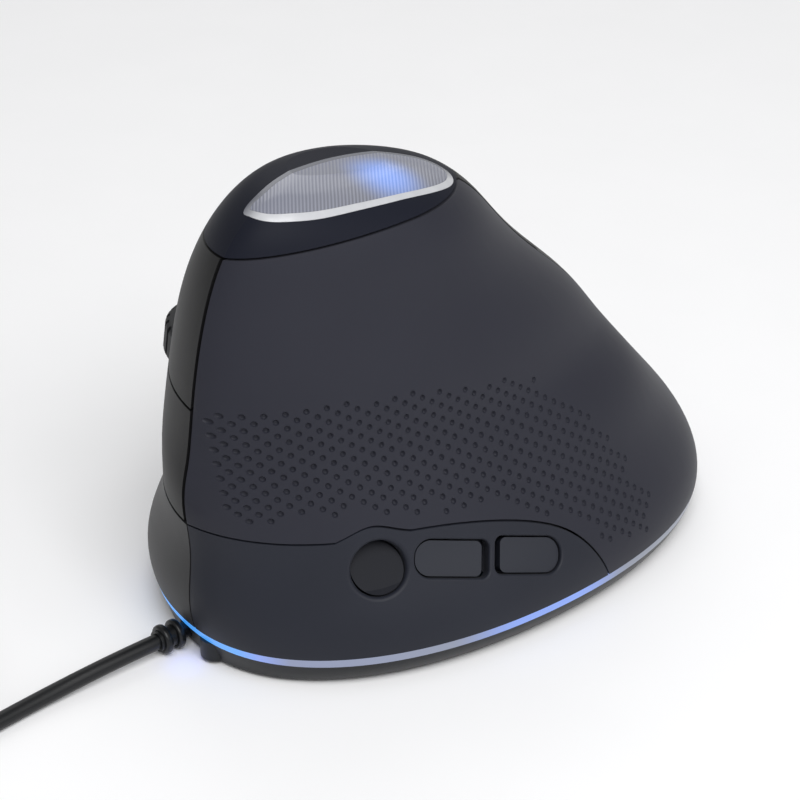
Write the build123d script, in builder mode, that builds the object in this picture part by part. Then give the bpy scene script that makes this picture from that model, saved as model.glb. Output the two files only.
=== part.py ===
"""Vertical ergonomic mouse with a lit top lens, a lit ring, thumb buttons and a cord.

Frame: origin under the middle of the body, on the surface that it stands on.
+Y points to the nose, where the cord leaves, -X is the thumb side, +X the finger side, +Z up.
All lengths are in millimetres, all angles in degrees.
"""

from build123d import *
from collections import namedtuple
import math
import os

os.makedirs("parts", exist_ok=True)

# Overall body
half_length = 59.5
half_width = 41.4
body_height = 85.0
wall = 2.3
roof_drop = 2.6
overrun = 5.0

# Seams and running clearances
seam_gap = 0.4
button_gap = 0.5
nose_gap = 1.0
hole_clearance = 0.3
pin_clearance = 0.05
rest_gap = 0.1
core_gap = 0.8

# Base, feet and light ring
foot_height = 0.8
foot_pocket = 0.3
floor_thickness = 1.6
base_height = 3.8
base_wall = 2.4
ring_height = 1.6
ring_lip = 0.5

# The thumb side's edge is a crease at one place across the body
seam_share = -0.147
cap_height_share = 0.898
cap_tilt = -6.8

base_bottom = foot_height
floor_top = base_bottom + floor_thickness
base_top = base_bottom + base_height
ring_top = base_top + ring_height
seam_x = seam_share * half_width

# Cross sections of the body, from the surface that it stands on to the crown.
# Heights are shares of body_height, x places of half_width and y places of half_length.
Section = namedtuple(
    "Section",
    "height slope nose_x nose tail_x tail thumb thumb_y finger finger_y "
    "nose_thumb tail_thumb tail_finger nose_finger thumb_crease finger_crease",
)
section_shares = [
    Section(0.000, 0.00, -0.147, 0.961, -0.03, -0.940, -0.918, 0.015, 0.901, 0.015, 0.59, 0.61, 0.54, 0.58, 0, 0),
    Section(0.059, 0.00, -0.147, 0.980, -0.03, -0.992, -1.000, 0.015, 0.986, 0.015, 0.60, 0.62, 0.54, 0.59, 0, 0),
    Section(0.106, 0.00, -0.147, 0.996, -0.03, -1.000, -0.998, 0.015, 1.000, 0.015, 0.58, 0.62, 0.54, 0.59, 0, 0),
    Section(0.188, 0.00, -0.147, 0.996, -0.01, -0.971, -0.930, 0.015, 0.969, 0.015, 0.56, 0.60, 0.55, 0.57, 2, 0),
    Section(0.318, 0.00, -0.147, 0.992, -0.03, -0.820, -0.790, 0.015, 0.865, 0.015, 0.56, 0.63, 0.56, 0.52, 10, 4),
    Section(0.471, 0.00, -0.147, 0.978, 0.01, -0.650, -0.643, 0.082, 0.819, 0.024, 0.56, 0.60, 0.56, 0.55, 14, 6),
    Section(0.647, 0.03, -0.147, 0.933, 0.07, -0.449, -0.546, 0.150, 0.742, 0.089, 0.56, 0.54, 0.56, 0.55, 18, 8),
    Section(0.799, 0.08, -0.147, 0.859, 0.09, -0.244, -0.461, 0.217, 0.582, 0.150, 0.56, 0.52, 0.56, 0.54, 18, 8),
    Section(0.893, 0.12, -0.147, 0.750, 0.08, -0.106, -0.379, 0.281, 0.391, 0.210, 0.56, 0.54, 0.56, 0.54, 8, 6),
    Section(0.935, 0.14, -0.120, 0.618, 0.05, 0.047, -0.220, 0.318, 0.254, 0.262, 0.56, 0.56, 0.56, 0.56, 0, 0),
    Section(0.949, 0.14, -0.050, 0.521, 0.02, 0.168, -0.121, 0.328, 0.169, 0.294, 0.56, 0.56, 0.56, 0.56, 0, 0),
]

# Seams in the side view, as (y, z) shares of half_length and body_height
panel_front_shares = [(0.993, 0.332), (0.900, 0.322), (0.812, 0.315), (0.700, 0.309)]
panel_bump_shares = [(0.655, 0.320), (0.590, 0.330), (0.530, 0.318)]
panel_rear_shares = [
    (0.481, 0.306), (0.336, 0.294), (0.198, 0.273), (0.066, 0.242), (-0.074, 0.180), (-0.141, 0.110), (-0.172, 0.060)
]
split_shares = [(1.15, 0.592), (0.64, 0.574), (0.17, 0.562), (-0.15, 0.556)]
index_rear_shares = [(-0.15, 0.556), (-0.44, 0.682), (-0.90, 0.880)]
skirt_top_shares = [(1.15, 0.331), (0.34, 0.341), (-0.084, 0.365), (-0.69, 0.441), (-1.15, 0.499)]
button_rear_share = -0.15
wrap_end_share = -0.40
far_share = 1.25

# Lens outline in plan, as (x, y) shares of half_width and half_length
lens_shares = [
    (-0.125, 0.712), (-0.188, 0.697), (-0.240, 0.643), (-0.278, 0.560), (-0.294, 0.460), (-0.297, 0.360),
    (-0.291, 0.265), (-0.274, 0.175), (-0.238, 0.090), (-0.175, 0.020), (-0.107, -0.005), (-0.051, 0.015),
    (-0.008, 0.070), (0.023, 0.140), (0.038, 0.220), (0.034, 0.310), (0.008, 0.410), (-0.036, 0.515),
    (-0.076, 0.610), (-0.100, 0.675),
]
lens_thickness = 1.8
bezel_width = 1.1
bezel_depth = 3.0
well_wall = 1.2
led_board_thickness = 1.6
led_shelf_share = 0.838
top_led_size = 5.0
top_led_height = 1.6
top_led_shares = [(-0.145, 0.27), (-0.145, 0.47)]

# Main board and what stands on it
board_thickness = 1.6
board_width = 40.0
board_length_share = 1.042
board_centre_share = 0.05
board_height = 7.2
board_corner = 4.0
post_radius = 3.0
board_screw_radius = 1.0
board_screw_head = 1.9
board_screw_head_height = 1.3
board_screw_length = 6.0
board_edge = 4.0
board_post_share = 0.437
sensor_size = (10.0, 9.0, 3.2)
sensor_y_share = 0.067
sensor_window = (9.0, 6.0)
sensor_lens_size = (14.0, 11.0)
chip_size = (7.0, 7.0, 1.2)
chip_shares = (0.24, -0.22)
header_size = (8.0, 5.0, 4.0)
header_y_share = 0.500
ring_led_size = (3.0, 2.0, 1.5)
ring_led_angles = [0, 48, 132, 180, 232, 308]
ring_led_reach_share = 0.84

# Inner frame
frame_floor = 13.0
frame_plate = 2.0
spine_thickness = 2.0
spine_offset = 0.9
frame_half_share = 0.483
frame_front_share = 0.76
frame_rear_share = -0.70
frame_window_width = 28.0
frame_window_share = 1.042
frame_corner = 6.0
frame_post_share = 0.4106
frame_post_front_share = 0.700
frame_post_rear_share = -0.560
frame_post_radius = 3.4
frame_screw_radius = 1.3
frame_screw_head = 2.4
frame_screw_head_height = 1.6
frame_screw_length = 9.5
spine_shares = [
    (0.80, 0.153), (0.82, 0.500), (0.78, 0.680), (0.70, 0.790), (0.60, 0.838), (0.10, 0.838), (-0.02, 0.790),
    (-0.20, 0.640), (-0.42, 0.480), (-0.60, 0.330), (-0.66, 0.153),
]
spine_window_shares = [(-0.25, 0.330), (0.05, 0.630), (0.62, 0.300)]
spine_window_sizes = [(18.0, 18.0), (14.0, 14.0), (12.0, 16.0)]

# Button board, its two switches and the button hinges
button_board_x_share = 0.242
button_board_shares = [
    (0.13, 0.388), (0.52, 0.388), (0.52, 0.448), (0.28, 0.448), (0.28, 0.690), (0.52, 0.690), (0.52, 0.790),
    (0.13, 0.790),
]
standoff_radius = 2.3
standoff_shares = [(0.195, 0.430), (0.195, 0.590), (0.195, 0.750)]
switch_size = (6.5, 12.8, 5.8)
switch_y_share = 0.370
index_switch_share = 0.741
middle_switch_drop = 10.71
plunger_radius = 1.0
plunger_depth = 1.6
plunger_rise = 0.5
travel_room = 0.6
rib_width = 4.0
pin_radius = 1.5
lug_height = 3.0
lug_radius = 3.4
lug_gap = 0.4
arm_thickness = 2.2
arm_width = 7.0
index_pin_shares = (0.338, -0.134, 0.653)
middle_pin_shares = (0.386, -0.084, 0.441)

# Scroll wheel, its yoke and its click switch
wheel_shares = (0.406, 0.566, 0.554)
wheel_azimuth = 33.5
wheel_tilt = 8.0
wheel_radius = 11.0
wheel_width = 6.5
tyre_depth = 2.2
tyre_grooves = 28
groove_width = 0.9
groove_depth = 0.7
slot_clearance = 0.8
axle_radius = 1.2
axle_length = 17.0
axle_offset = -1.2
hub_radius = 3.2
hub_width = 7.5
yoke_arm = 2.0
yoke_gap = 0.3
yoke_width = 9.0
yoke_reach = 2.6
yoke_back = 1.4
yoke_plate = 2.0
yoke_plate_width = 17.0
guide_radius = 1.2
guide_spacing = 13.4
mount_plate = 2.0
mount_gap = 2.6
mount_height = 16.0
mount_side = 9.5
mount_bite = 0.7
encoder_size = (10.0, 10.0, 4.0)
click_switch_size = 6.0
click_switch_height = 2.0
click_plunger_radius = 1.7
click_plunger_depth = 0.8

# Thumb buttons, all pressed along one direction
thumb_origin_shares = (-0.829, 0.378, 0.235)
thumb_axis = (-0.872, 0.217, 0.438)
thumb_along = (-0.341, -0.912, -0.225)
rocker_height = 6.3
forward_length = 14.0
back_length = 13.6
rocker_divider = 1.8
rocker_corner = 1.2
rocker_end = 2.9
back_rise = 0.7
rocker_lip = 0.45
profile_lip = 0.8
divider_gap = 1.0
profile_radius = 4.7
profile_offset = (-13.6, -1.9)
rocker_recess = 0.7
profile_recess = 0.5
profile_lean = 17.0
profile_lean_heading = 132.0
cap_depth = 4.4
back_extra_depth = 1.6
flange_height = 0.8
flange_width = 0.8
stem_radius = 1.5
thumb_switch_depth = 6.7
thumb_switch_size = 6.0
thumb_switch_height = 3.2
back_switch_drop = 1.5
thumb_plunger_radius = 1.2
thumb_plunger_depth = 0.9
thumb_board_front = 18.5
thumb_board_rear = 22.0
thumb_board_width = 9.0
thumb_arm_shares = (0.47, 0.20)
thumb_arm_width = 6.0
thumb_arm_height = 4.0
thumb_arm_reach_share = 0.29

# Ribbon between the boards
ribbon_thickness = 0.5
ribbon_width = 5.0
ribbon_y_share = 0.445

# Cord, its gland and its plug
cable_diameter = 3.0
cable_x_share = -0.0266
gland_height = 2.95
gland_neck = 1.55
gland_radius = 1.95
gland_rib = 2.75
gland_rib_length = 1.5
gland_rib_pitch = 2.7
gland_rib_round = 0.55
gland_ribs = 2
gland_length = 4.8
gland_flange = 2.6
gland_flange_length = 1.2
gland_inner = 5.3
gland_root = 1.9
channel_clearance = 0.15
channel_length = 9.5
lead_diameter = 2.0
lead_rise = 0.7
lead_bend = 6.5
boss_radius = 2.8
boss_shares = (-0.195, 0.940)
coil_pitch = 3.5
coil_least_radius = 9.0
coil_layer = 3.5
coil_turns = 11.25
coil_tail = 20.0
coil_centre = (26.5, 118.5)
gland_run = 8.5
cord_bend = (-0.7, 86.0, 1.9)
entry_run = 11.5
plug_tail_radius = 2.6
plug_tail_length = 6.0
plug_body_size = (15.5, 10.0, 20.0)
plug_corner = 2.0
plug_shell_size = (12.0, 4.5, 12.5)
plug_shell_wall = 0.3
plug_tongue_size = (11.0, 1.9, 11.5)
plug_tongue_shift = 0.9
contact_size = (1.1, 0.2, 9.0)
contact_spacing = 2.3
contact_count = 4

# Feet under the base
front_foot = (26.0, 7.0)
rear_foot = (16.0, 7.0)
front_foot_share = 0.72
rear_foot_shares = (0.45, -0.70)


def body_point(x_share, y_share, z_share):
    """A place in the body from its shares of the half width, half length and height."""
    return Vector(x_share * half_width, y_share * half_length, z_share * body_height)


def side_points(shares, shift_y=0, shift_z=0):
    """Side-view points (y, z) from shares, moved by a part of a seam gap."""
    return [(y * half_length + shift_y, z * body_height + shift_z) for y, z in shares]


def quarter(start, start_corner, end_corner, end, fullness):
    """Quarter of an outline from one extreme to the next, pulled towards the corners."""
    first = Vector(*start) + (Vector(*start_corner) - Vector(*start)) * fullness
    second = Vector(*end) + (Vector(*end_corner) - Vector(*end)) * fullness
    return Bezier(start, first, second, end)


def outline(section, inset, level):
    """Closed outline of one cross section on its plane, drawn inside its walls by the inset."""
    stretch = math.hypot(1, section.slope)
    nose_x = section.nose_x * half_width
    nose_y = (section.nose * half_length - inset) * stretch
    tail_x = section.tail_x * half_width
    tail_y = (section.tail * half_length + inset) * stretch
    thumb_x = section.thumb * half_width + inset
    finger_x = section.finger * half_width - inset
    thumb_y = section.thumb_y * half_length * stretch
    finger_y = section.finger_y * half_length * stretch
    thumb_fall = (nose_x - thumb_x) * math.tan(math.radians(section.thumb_crease))
    finger_fall = (finger_x - nose_x) * math.tan(math.radians(section.finger_crease))
    nose, tail = (nose_x, nose_y), (tail_x, tail_y)
    thumb, finger = (thumb_x, thumb_y), (finger_x, finger_y)
    quarters = [
        quarter(nose, (thumb_x, nose_y - thumb_fall), (thumb_x, nose_y), thumb, section.nose_thumb),
        quarter(thumb, (thumb_x, tail_y), (thumb_x, tail_y), tail, section.tail_thumb),
        quarter(tail, (finger_x, tail_y), (finger_x, tail_y), finger, section.tail_finger),
        quarter(finger, (finger_x, nose_y), (finger_x, nose_y - finger_fall), nose, section.nose_finger),
    ]
    return level * Face(Wire(quarters))


def body_form(inset, drop, sections):
    """Solid body lofted through its cross sections, each set in and lowered with its height."""
    faces = []
    for section in sections:
        height = section.height * (body_height - drop)
        level = Plane(origin=(0, 0, height), x_dir=(1, 0, 0), z_dir=(0, -section.slope, 1))
        faces.append(outline(section, inset, level))
    with BuildPart() as form:
        loft(faces)
    return form.part


def side_prism(points, x_from, x_to):
    """Prism across the body whose outline lies in the side view."""
    with BuildPart() as prism:
        with BuildSketch(Plane.YZ.offset(x_from)):
            with BuildLine():
                Polyline(*points, close=True)
            make_face()
        extrude(amount=x_to - x_from)
    return prism.part


def slab(z_from, z_to):
    """Level slice across the whole body."""
    with BuildPart() as slice_block:
        with BuildSketch(Plane.XY.offset(z_from)):
            Rectangle(2 * far_share * half_width, 2 * far_share * half_length)
        extrude(amount=z_to - z_from)
    return slice_block.part


def lens_prism(grow, z_from, z_to):
    """Upright prism on the lens outline, with its places moved outward by grow."""
    places = [Vector(x * half_width, y * half_length) for x, y in lens_shares]
    headings = [
        (places[(index + 1) % len(places)] - places[index - 1]).normalized() for index in range(len(places))
    ]
    moved = [
        place + Vector(heading.Y, -heading.X) * grow for place, heading in zip(places, headings)
    ]
    with BuildPart() as prism:
        with BuildSketch(Plane.XY.offset(z_from)):
            with BuildLine():
                Spline(*moved, periodic=True)
            make_face()
        extrude(amount=z_to - z_from)
    return prism.part


def height_on(shares, y_share):
    """Height share of a seam line at one place along the body."""
    for (y_near, z_near), (y_far, z_far) in zip(shares, shares[1:]):
        if y_far <= y_share <= y_near:
            return z_near + (z_far - z_near) * (y_near - y_share) / (y_near - y_far)
    return shares[-1][1]


outer_form = body_form(0, 0, section_shares)
inner_form = body_form(wall, roof_drop, section_shares)
core_form = body_form(wall + core_gap, roof_drop + core_gap, section_shares)
ring_inner_form = body_form(base_wall + ring_lip, 0, section_shares[:4])
base_inner_form = body_form(base_wall, 0, section_shares[:4])

high = far_share * body_height
wide = far_share * half_width
long = far_share * half_length

# Wheel plane: x outward through the finger side, z along the axle
tilt = math.radians(wheel_tilt)
azimuth = math.radians(wheel_azimuth)
wheel_centre = body_point(*wheel_shares)
wheel_out = Vector(math.cos(tilt) * math.cos(azimuth), math.cos(tilt) * math.sin(azimuth), math.sin(tilt))
wheel_axis = Vector(-math.sin(tilt) * math.cos(azimuth), -math.sin(tilt) * math.sin(azimuth), math.cos(tilt))
wheel_plane = Plane(origin=wheel_centre, x_dir=wheel_out, z_dir=wheel_axis)

# Thumb button plane: x rearward along the row, z outward along the press direction
thumb_plane = Plane(origin=body_point(*thumb_origin_shares), x_dir=thumb_along, z_dir=thumb_axis)
back_centre_x = forward_length / 2 + rocker_divider + back_length / 2

# Pin places of the two main buttons
index_pin = body_point(*index_pin_shares)
middle_pin = body_point(*middle_pin_shares)

# Switch places on the button board
board_face_x = button_board_x_share * half_width + board_thickness
switch_top_x = board_face_x + switch_size[0]
plunger_tip_x = switch_top_x + plunger_rise
switch_y = switch_y_share * half_length
index_switch_z = index_switch_share * body_height
middle_switch_z = wheel_centre.Z - middle_switch_drop

# Board and frame sizes that follow the body
board_length = board_length_share * half_length
board_post_x = board_width / 2 - board_edge
board_post_y = board_post_share * half_length
frame_half_width = frame_half_share * half_width
frame_post_x = frame_post_share * half_width
frame_window_length = frame_window_share * half_length

# Cord places
cable_x = cable_x_share * half_width
cable_radius = cable_diameter / 2
base_nose_y = section_shares[0].nose * half_length
gland_end_y = base_nose_y + gland_root + gland_length


# Base shell: a tray with a cable notch, posts for the board and holes for the screws
base_solid = outer_form & slab(base_bottom, base_top)
base_hollow = base_inner_form & slab(floor_top, base_top + overrun)
board_posts = [
    (x, board_centre_share * half_length + y)
    for x in (-board_post_x, board_post_x)
    for y in (-board_post_y, board_post_y)
]
frame_posts = [
    (x, y * half_length)
    for x in (-frame_post_x, frame_post_x)
    for y in (frame_post_front_share, frame_post_rear_share)
]
sensor_y = sensor_y_share * half_length
with BuildPart() as base_shell:
    add(base_solid)
    add(base_hollow, mode=Mode.SUBTRACT)
    with Locations((boss_shares[0] * half_width, boss_shares[1] * half_length, base_bottom)):
        Cylinder(boss_radius, base_height, align=(Align.CENTER, Align.CENTER, Align.MIN))
    with BuildSketch(Plane.XY.offset(floor_top)):
        with Locations(*board_posts):
            Circle(post_radius)
    extrude(amount=board_height - floor_top)
    with BuildSketch(Plane.XY.offset(floor_top)):
        with Locations(*board_posts):
            Circle(board_screw_radius + pin_clearance)
    extrude(amount=board_height, mode=Mode.SUBTRACT)
    with BuildSketch(Plane.XY.offset(base_bottom)):
        with Locations(*frame_posts):
            Circle(frame_screw_radius + pin_clearance)
        with Locations((0, sensor_y)):
            RectangleRounded(*sensor_window, radius=sensor_window[1] / 4)
    extrude(amount=base_height, mode=Mode.SUBTRACT)
    with BuildSketch(Plane.XY.offset(base_bottom)):
        with Locations(*frame_posts):
            Circle(frame_screw_head + pin_clearance)
    extrude(amount=floor_thickness / 2, mode=Mode.SUBTRACT)
    with BuildSketch(Plane.XZ.offset(-half_length - overrun)):
        with Locations((cable_x, gland_height)):
            Circle(gland_neck + channel_clearance)
        with Locations((cable_x, gland_height + base_height / 2)):
            Rectangle(2 * (gland_neck + channel_clearance), base_height)
    extrude(amount=overrun + channel_length, mode=Mode.SUBTRACT)
    with BuildSketch(Plane.XY.offset(base_bottom)):
        with Locations((0, front_foot_share * half_length)):
            SlotOverall(*front_foot)
        for side in (-1, 1):
            with Locations((side * rear_foot_shares[0] * half_width, rear_foot_shares[1] * half_length)):
                SlotOverall(*rear_foot)
    extrude(amount=foot_pocket, mode=Mode.SUBTRACT)
base_shell.part.label = "base_shell"
export_step(base_shell.part, "parts/base_shell.step")

# Glide feet: three low-friction pads seated in pockets under the base
with BuildPart() as glide_feet:
    with BuildSketch(Plane.XY):
        with Locations((0, front_foot_share * half_length)):
            SlotOverall(front_foot[0] - 2 * pin_clearance, front_foot[1] - 2 * pin_clearance)
        for side in (-1, 1):
            with Locations((side * rear_foot_shares[0] * half_width, rear_foot_shares[1] * half_length)):
                SlotOverall(rear_foot[0] - 2 * pin_clearance, rear_foot[1] - 2 * pin_clearance)
    extrude(amount=foot_height + foot_pocket)
glide_feet.part.label = "glide_feet"
export_step(glide_feet.part, "parts/glide_feet.step")

# Light ring: a clear band between the base and the covers
with BuildPart() as light_ring:
    add(outer_form & slab(base_top, ring_top))
    add(ring_inner_form, mode=Mode.SUBTRACT)
light_ring.part.label = "light_ring"
export_step(light_ring.part, "parts/light_ring.step")

# Ring lamps: small chips on the base floor under the ring's lip
with BuildPart() as ring_lamps:
    for angle in ring_led_angles:
        turn = math.radians(angle)
        lamp_x = ring_led_reach_share * half_width * math.cos(turn)
        lamp_y = ring_led_reach_share * half_length * math.sin(turn)
        with Locations(Location((lamp_x, lamp_y, floor_top), (0, 0, angle))):
            Box(
                ring_led_size[1],
                ring_led_size[0],
                ring_led_size[2],
                align=(Align.CENTER, Align.CENTER, Align.MIN),
            )
ring_lamps.part.label = "ring_lamps"
export_step(ring_lamps.part, "parts/ring_lamps.step")

# Covers: one hollow shell above the ring, divided along the seams
shell_form = (outer_form & slab(ring_top, high)) - inner_form

# Cap seam, level from nose to tail and tilted down to the finger side
with BuildPart() as above_cap_seam:
    with BuildSketch(Plane.XZ.offset(-long)):
        with Locations(Location((seam_x, cap_height_share * body_height), cap_tilt)):
            Rectangle(2 * wide, high, align=(Align.CENTER, Align.MIN))
    extrude(amount=2 * long)
cap_region = above_cap_seam.part
cap_cut = cap_region.moved(Location((0, 0, -seam_gap)))

# Everything above the seam of the thumb panel
with BuildPart() as above_panel:
    with BuildSketch(Plane.YZ.offset(-wide)):
        with BuildLine():
            front = Spline(*side_points(panel_front_shares))
            bump = Spline(*side_points([panel_front_shares[-1]] + panel_bump_shares + [panel_rear_shares[0]]))
            rear = Spline(*side_points(panel_rear_shares))
            Polyline(rear @ 1, (-long, 0), (-long, high), (long, high), (long, (front @ 0).Y), front @ 0)
        make_face()
    extrude(amount=2 * wide)
panel_seam = above_panel.part
panel_cover_side = panel_seam.moved(Location((0, -0.6 * seam_gap, 0.8 * seam_gap)))

near_side = side_prism([(-long, 0), (-long, high), (long, high), (long, 0)], -wide, seam_x)
wrap_region = side_prism(
    [(wrap_end_share * half_length, 0)]
    + side_points([(wrap_end_share, height_on(skirt_top_shares, wrap_end_share))] + skirt_top_shares[3:])
    + [(-long, 0)],
    seam_x - overrun,
    wide,
)

# Thumb cover: the large soft-touch shell, wrapped round the rear under the palm
with BuildPart() as thumb_cover:
    add(shell_form)
    add((near_side & panel_cover_side) + wrap_region, mode=Mode.INTERSECT)
    add(cap_cut, mode=Mode.SUBTRACT)
thumb_cover.part.label = "thumb_cover"
export_step(thumb_cover.part, "parts/thumb_cover.step")


def rocker_outline(length, grow, short):
    """Rocker outline with a rounded outer end and small corners at the divider."""
    half = length / 2 + grow
    divider_end = half - short
    top = rocker_height / 2 + grow
    with BuildSketch() as drawing:
        with BuildLine():
            FilletPolyline(
                (divider_end, -top),
                (divider_end, top),
                (-half, top),
                (-half, -top),
                radius=[rocker_corner + grow, rocker_corner + grow, rocker_end + grow, rocker_end + grow],
                close=True,
            )
        make_face()
    return drawing.sketch


def thumb_prism(kind, grow, depth_from, depth_to, short=0):
    """Prism of one thumb button's outline along the press direction."""
    with BuildPart() as prism:
        if kind == "profile":
            with BuildSketch(thumb_plane.offset(depth_from)):
                with Locations(profile_offset):
                    Circle(profile_radius + grow)
        elif kind == "forward":
            with BuildSketch(thumb_plane.offset(depth_from)):
                add(rocker_outline(forward_length, grow, short))
        else:
            back_origin = thumb_plane.from_local_coords(Vector(back_centre_x, back_rise, depth_from))
            turned = Vector(*thumb_along) * -1
            with BuildSketch(Plane(origin=back_origin, x_dir=turned, z_dir=thumb_axis)):
                add(rocker_outline(back_length, grow, short))
        extrude(amount=depth_to - depth_from)
    return prism.part


thumb_kinds = ("forward", "back", "profile")
button_depths = {"forward": cap_depth, "back": cap_depth + back_extra_depth, "profile": cap_depth}
switch_drops = {"forward": 0, "back": back_switch_drop, "profile": 0}
button_lips = {"forward": rocker_lip, "back": rocker_lip, "profile": profile_lip}
rim_reach = {
    "forward": (forward_length / 2 + rocker_divider / 2, rocker_height / 2 + 2 * hole_clearance),
    "back": (back_length / 2 + rocker_divider / 2, rocker_height / 2 + 2 * hole_clearance),
    "profile": (profile_radius + 2 * hole_clearance, profile_radius + 2 * hole_clearance),
}
button_recesses = {"forward": rocker_recess, "back": rocker_recess, "profile": profile_recess}
button_centres = {
    "forward": (0, 0),
    "back": (back_centre_x, back_rise),
    "profile": profile_offset,
}


outer_skin = outer_form.shells()[0]


def on_outer_rim(edge, kind):
    """True for an edge of one button's hole in the panel's outer face."""
    middle = edge @ 0.5
    place = thumb_plane.to_local_coords(middle)
    centre_x, centre_y = button_centres[kind]
    reach_x, reach_y = rim_reach[kind]
    near = abs(place.X - centre_x) < reach_x and abs(place.Y - centre_y) < reach_y
    return near and Vertex(middle.X, middle.Y, middle.Z).distance_to(outer_skin) < pin_clearance


with BuildPart() as thumb_panel:
    add(shell_form)
    add(near_side, mode=Mode.INTERSECT)
    add(panel_seam, mode=Mode.SUBTRACT)
    for kind in thumb_kinds:
        add(thumb_prism(kind, hole_clearance, -2 * cap_depth, overrun), mode=Mode.SUBTRACT)
    for kind in thumb_kinds:
        rim_edges = [edge for edge in thumb_panel.edges() if on_outer_rim(edge, kind)]
        fillet(rim_edges, radius=button_lips[kind])
thumb_panel.part.label = "thumb_panel"
export_step(thumb_panel.part, "parts/thumb_panel.step")

# Thumb buttons: a cap, a flange behind the panel and a stem on its switch
press_direction = Vector(*thumb_axis)


def lean_cut(cap):
    """Space over the round button's leaning face, which is lowest at the nose end of its top."""
    heading = math.radians(profile_lean_heading)
    lean = math.radians(profile_lean)
    top_level = max(thumb_plane.to_local_coords(corner.center()).Z for corner in cap.vertices())
    middle = Vector(*profile_offset, top_level - profile_radius * math.tan(lean))
    tilted = Vector(math.cos(heading) * math.sin(lean), math.sin(heading) * math.sin(lean), math.cos(lean))
    origin = thumb_plane.from_local_coords(middle)
    out = thumb_plane.from_local_coords(middle + tilted) - origin
    with BuildPart() as space:
        with BuildSketch(Plane(origin=origin, z_dir=out)):
            Circle(2 * profile_radius)
        extrude(amount=2 * overrun)
    return space.part


for kind in thumb_kinds:
    depth = button_depths[kind]
    sunk_form = outer_form.moved(Location(press_direction * -button_recesses[kind]))
    cap = thumb_prism(kind, 0, -depth, overrun, divider_gap) & sunk_form
    if kind == "profile":
        cap = cap - lean_cut(cap)
    flange = thumb_prism(kind, flange_width, -depth - flange_height, -depth)
    stem_length = thumb_switch_depth + switch_drops[kind] - plunger_rise - rest_gap - depth
    stem_origin = thumb_plane.from_local_coords(Vector(*button_centres[kind], -depth))
    with BuildPart() as thumb_button:
        add(cap)
        add(flange)
        with BuildSketch(Plane(origin=stem_origin, x_dir=thumb_along, z_dir=press_direction * -1)):
            Circle(stem_radius)
        extrude(amount=stem_length)
    thumb_button.part.label = kind + "_button"
    export_step(thumb_button.part, "parts/" + kind + "_button.step")

# Thumb switches, their plungers and their board
switch_base = thumb_switch_depth + thumb_switch_height
with BuildPart() as thumb_switches:
    for kind in thumb_kinds:
        switch_origin = thumb_plane.from_local_coords(Vector(*button_centres[kind], -switch_base))
        seat = Plane(origin=switch_origin, x_dir=thumb_along, z_dir=thumb_axis)
        body_top = thumb_switch_height - switch_drops[kind]
        with BuildSketch(seat):
            Rectangle(thumb_switch_size, thumb_switch_size)
        extrude(amount=body_top)
        with BuildSketch(seat.offset(body_top - thumb_plunger_depth - travel_room)):
            Circle(thumb_plunger_radius + pin_clearance)
        extrude(amount=thumb_switch_height, mode=Mode.SUBTRACT)
thumb_switches.part.label = "thumb_switches"
export_step(thumb_switches.part, "parts/thumb_switches.step")

for kind in thumb_kinds:
    plunger_foot = thumb_switch_depth + switch_drops[kind] + thumb_plunger_depth
    tip_origin = thumb_plane.from_local_coords(Vector(*button_centres[kind], -plunger_foot))
    with BuildPart() as thumb_plunger:
        with BuildSketch(Plane(origin=tip_origin, x_dir=thumb_along, z_dir=thumb_axis)):
            Circle(thumb_plunger_radius)
        extrude(amount=thumb_plunger_depth + plunger_rise)
    thumb_plunger.part.label = kind + "_plunger"
    export_step(thumb_plunger.part, "parts/" + kind + "_plunger.step")

with BuildPart() as thumb_board:
    with BuildSketch(thumb_plane.offset(-switch_base - board_thickness)):
        with Locations(((thumb_board_rear - thumb_board_front) / 2, 0)):
            Rectangle(thumb_board_front + thumb_board_rear, thumb_board_width)
    extrude(amount=board_thickness)
thumb_board.part.label = "thumb_board"
export_step(thumb_board.part, "parts/thumb_board.step")


def below(shares, gap):
    """Side-view region under a seam line."""
    line = side_points(shares, 0, -gap)
    return side_prism(line + [(-long, 0), (long, 0)], seam_x + seam_gap, wide)


# Finger skirt: the flared foot of the finger side, from the nose to the rear wrap
skirt_end = wrap_end_share * half_length + seam_gap
with BuildPart() as finger_skirt:
    add(shell_form)
    add(below(skirt_top_shares, seam_gap / 2), mode=Mode.INTERSECT)
    with BuildSketch(Plane.XY):
        with Locations((0, skirt_end)):
            Rectangle(2 * wide, long, align=(Align.CENTER, Align.MAX))
    extrude(amount=high, mode=Mode.SUBTRACT)
finger_skirt.part.label = "finger_skirt"
export_step(finger_skirt.part, "parts/finger_skirt.step")

# Finger panel: the fixed shell behind the two main buttons
rear_edge = button_rear_share * half_length
panel_corner = (button_rear_share, height_on(skirt_top_shares, button_rear_share))
panel_points = (
    side_points([panel_corner], -button_gap / 2, seam_gap)
    + side_points(index_rear_shares, -button_gap / 2, -button_gap / 2)
    + [(-long, high)]
    + side_points(reversed(skirt_top_shares[3:]), 0, seam_gap)
)
with BuildPart() as finger_panel:
    add(shell_form)
    add(side_prism(panel_points, seam_x + seam_gap, wide), mode=Mode.INTERSECT)
    add(cap_cut, mode=Mode.SUBTRACT)
finger_panel.part.label = "finger_panel"
export_step(finger_panel.part, "parts/finger_panel.step")

# Slot that the scroll wheel stands through, shared by both main buttons
slot_length = 2 * (wheel_radius + slot_clearance)
slot_width = wheel_width + 2 * slot_clearance
with BuildPart() as wheel_slot:
    with BuildSketch(wheel_plane.offset(-slot_width / 2)):
        with Locations((wheel_radius, 0)):
            RectangleRounded(2 * wheel_radius, slot_length, radius=slot_clearance)
    extrude(amount=slot_width)


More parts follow.
